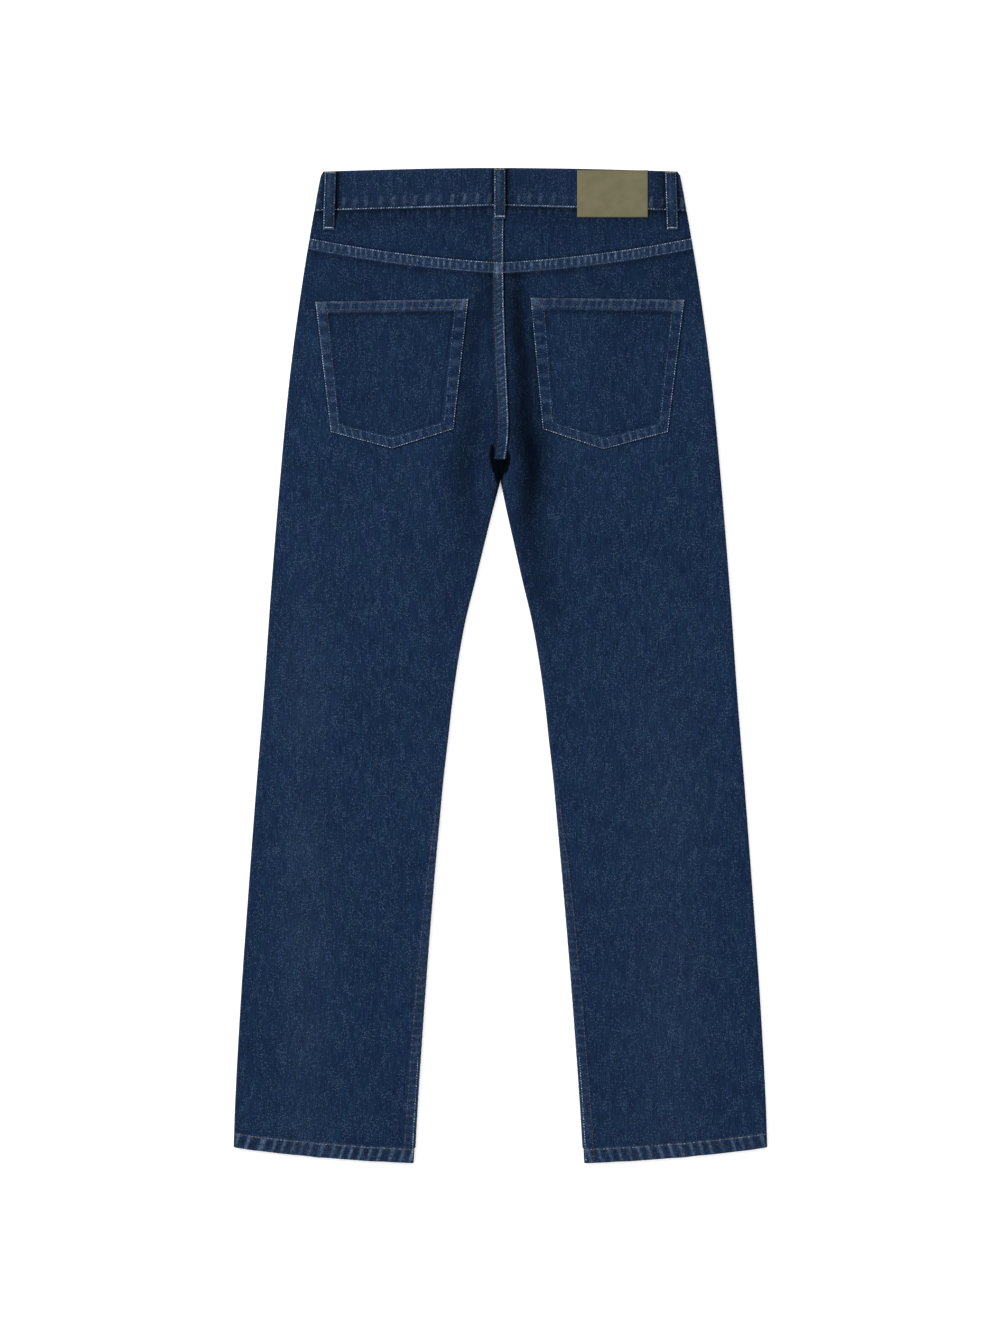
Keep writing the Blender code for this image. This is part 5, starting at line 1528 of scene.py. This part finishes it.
def sew(name, rows, finish, pitch, length, width, turn, seed):
    """One mesh of stitches on all these rows of points."""
    points, edges = [], []
    for row in rows:
        start = len(points)
        points += row
        edges += [(start + k, start + k + 1) for k in range(len(row) - 1)]
    mesh = bpy.data.meshes.new(name + "_paths")
    mesh.from_pydata(points, edges, [])
    path = placed(name + "_paths", mesh)
    sewn = path.modifiers.new("Sewing", "NODES")
    sewn.node_group = sewing
    for item in sewing.interface.items_tree:
        values = {
            "Pitch": pitch, "Stitch Length": length, "Thread Width": width, "Turn": turn,
            "Unevenness": 0.15, "Seed": seed, "Thread": finish,
        }
        if item.in_out == "INPUT" and item.name in values:
            sewn[item.identifier] = values[item.name]
    path.update_tag()
    bpy.context.view_layer.update()
    graph = bpy.context.evaluated_depsgraph_get()
    stitched = bpy.data.meshes.new_from_object(
        path.evaluated_get(graph), preserve_all_data_layers=True, depsgraph=graph
    )
    stitched.name = name
    bpy.data.objects.remove(path, do_unlink=True)
    piece = placed(name, stitched)
    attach(piece, "root")


sewing = sewing_tree()
all_rows = [(kind, laid_on(pieces, path, False)) for kind, pieces, path in paths_on_back()]
all_rows += [(kind, laid_on(pieces, path, True)) for kind, pieces, path in paths_underneath()]
tacks = [(kind, laid_on(*row)) for kind, *row in tack_paths()]
for kind, finish, pitch, length, width, seed in (
    ("tobacco", tobacco_thread, 0.0034, 0.0024, 0.00045, 5),
    ("khaki", khaki_thread, 0.0034, 0.0025, 0.00060, 7),
    ("stained", stained_thread, 0.0029, 0.0020, 0.00046, 17),
    ("pale", pale_thread, 0.0027, 0.0019, 0.00050, 9),
):
    rows = [row for row_kind, row in all_rows if row_kind == kind and len(row) > 1]
    sew(kind + "_stitching", rows, finish, pitch, length, width, 0.0, seed)
for kind, finish, length, seed in (("khaki", khaki_thread, 0.0017, 13), ("pale", pale_thread, 0.0012, 15)):
    rows = [row for row_kind, row in tacks if row_kind == kind and len(row) > 1]
    sew(kind + "_bar_tacks", rows, finish, 0.00055, length, 0.00046, 0.5 * math.pi, seed)

# ---------------------------------------------------------------- button


# Button's section from the middle of its upper face to that of its dish: shares of radius and height
BUTTON_SECTION = (
    (0.0, 1.0), (0.86, 1.0), (0.94, 0.94), (0.99, 0.78), (1.0, 0.55), (0.985, 0.25), (0.93, 0.06),
    (0.85, 0.0), (0.77, 0.05), (0.69, 0.22), (0.60, 0.26), (0.30, 0.20), (0.0, 0.16),
)


def waist_button():
    """Stamped shank button face down on the table: a rounded rim round a shallow dish."""
    profile = [(across * BUTTON_RADIUS, up * BUTTON_HIGH) for across, up in BUTTON_SECTION]
    steps = 48
    points, faces = [], []
    for radius, z in profile[1:-1]:
        for k in range(steps):
            angle = 2.0 * math.pi * k / steps
            points.append((BUTTON_X + radius * math.cos(angle), BUTTON_Y + radius * math.sin(angle), z))
    rings = len(profile) - 2
    for r in range(rings - 1):
        for k in range(steps):
            after = (k + 1) % steps
            faces.append((r * steps + k, (r + 1) * steps + k, (r + 1) * steps + after, r * steps + after))
    points += [(BUTTON_X, BUTTON_Y, profile[0][1]), (BUTTON_X, BUTTON_Y, profile[-1][1])]
    for k in range(steps):
        after = (k + 1) % steps
        faces.append((len(points) - 2, k, after))
        faces.append((len(points) - 1, (rings - 1) * steps + after, (rings - 1) * steps + k))
    mesh = bpy.data.meshes.new("waist_button_stamped")
    mesh.from_pydata(points, [], faces)
    mesh.materials.append(brass)
    mesh.shade_smooth()
    piece = placed("waist_button_stamped", mesh)
    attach(piece, "root")
    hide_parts("waist_button")


waist_button()

# ---------------------------------------------------------------- floor, light and camera


def floor():
    mesh = bpy.data.meshes.new("floor")
    mesh.from_pydata([(-6, -6, 0), (6, -6, 0), (6, 6, 0), (-6, 6, 0)], [], [(0, 1, 2, 3)])
    mesh.materials.append(acrylic)
    placed("floor", mesh)


def softbox(name, place, size, energy):
    lamp = bpy.data.lights.new(name, "AREA")
    lamp.shape = "RECTANGLE"
    lamp.size, lamp.size_y = size
    lamp.energy = energy
    made = placed(name, lamp)
    made.location = place
    made.rotation_euler = (-Vector(place)).to_track_quat("-Z", "Y").to_euler()


floor()
softbox("key_softbox", (-2.7, 1.6, 2.3), (1.2, 1.2), 125.0)
softbox("fill_softbox", (1.8, -0.8, 3.4), (2.6, 2.6), 26.0)
world = bpy.data.worlds.new("studio")
bpy.context.scene.world = world
world.use_nodes = True
world.node_tree.nodes["Background"].inputs["Color"].default_value = (1.0, 1.0, 1.0, 1.0)
world.node_tree.nodes["Background"].inputs["Strength"].default_value = 0.74

# Straight above the middle of the outline, as far off as its size in the frame asks for
CAMERA_PLACE = (-0.0005, -0.0016, 3.972)
lens = bpy.data.cameras.new("camera")
lens.lens = 100.0
lens.clip_end = 50.0
camera = placed("camera", lens)
camera.location = CAMERA_PLACE
bpy.context.scene.camera = camera
bpy.context.scene.view_settings.view_transform = "Standard"
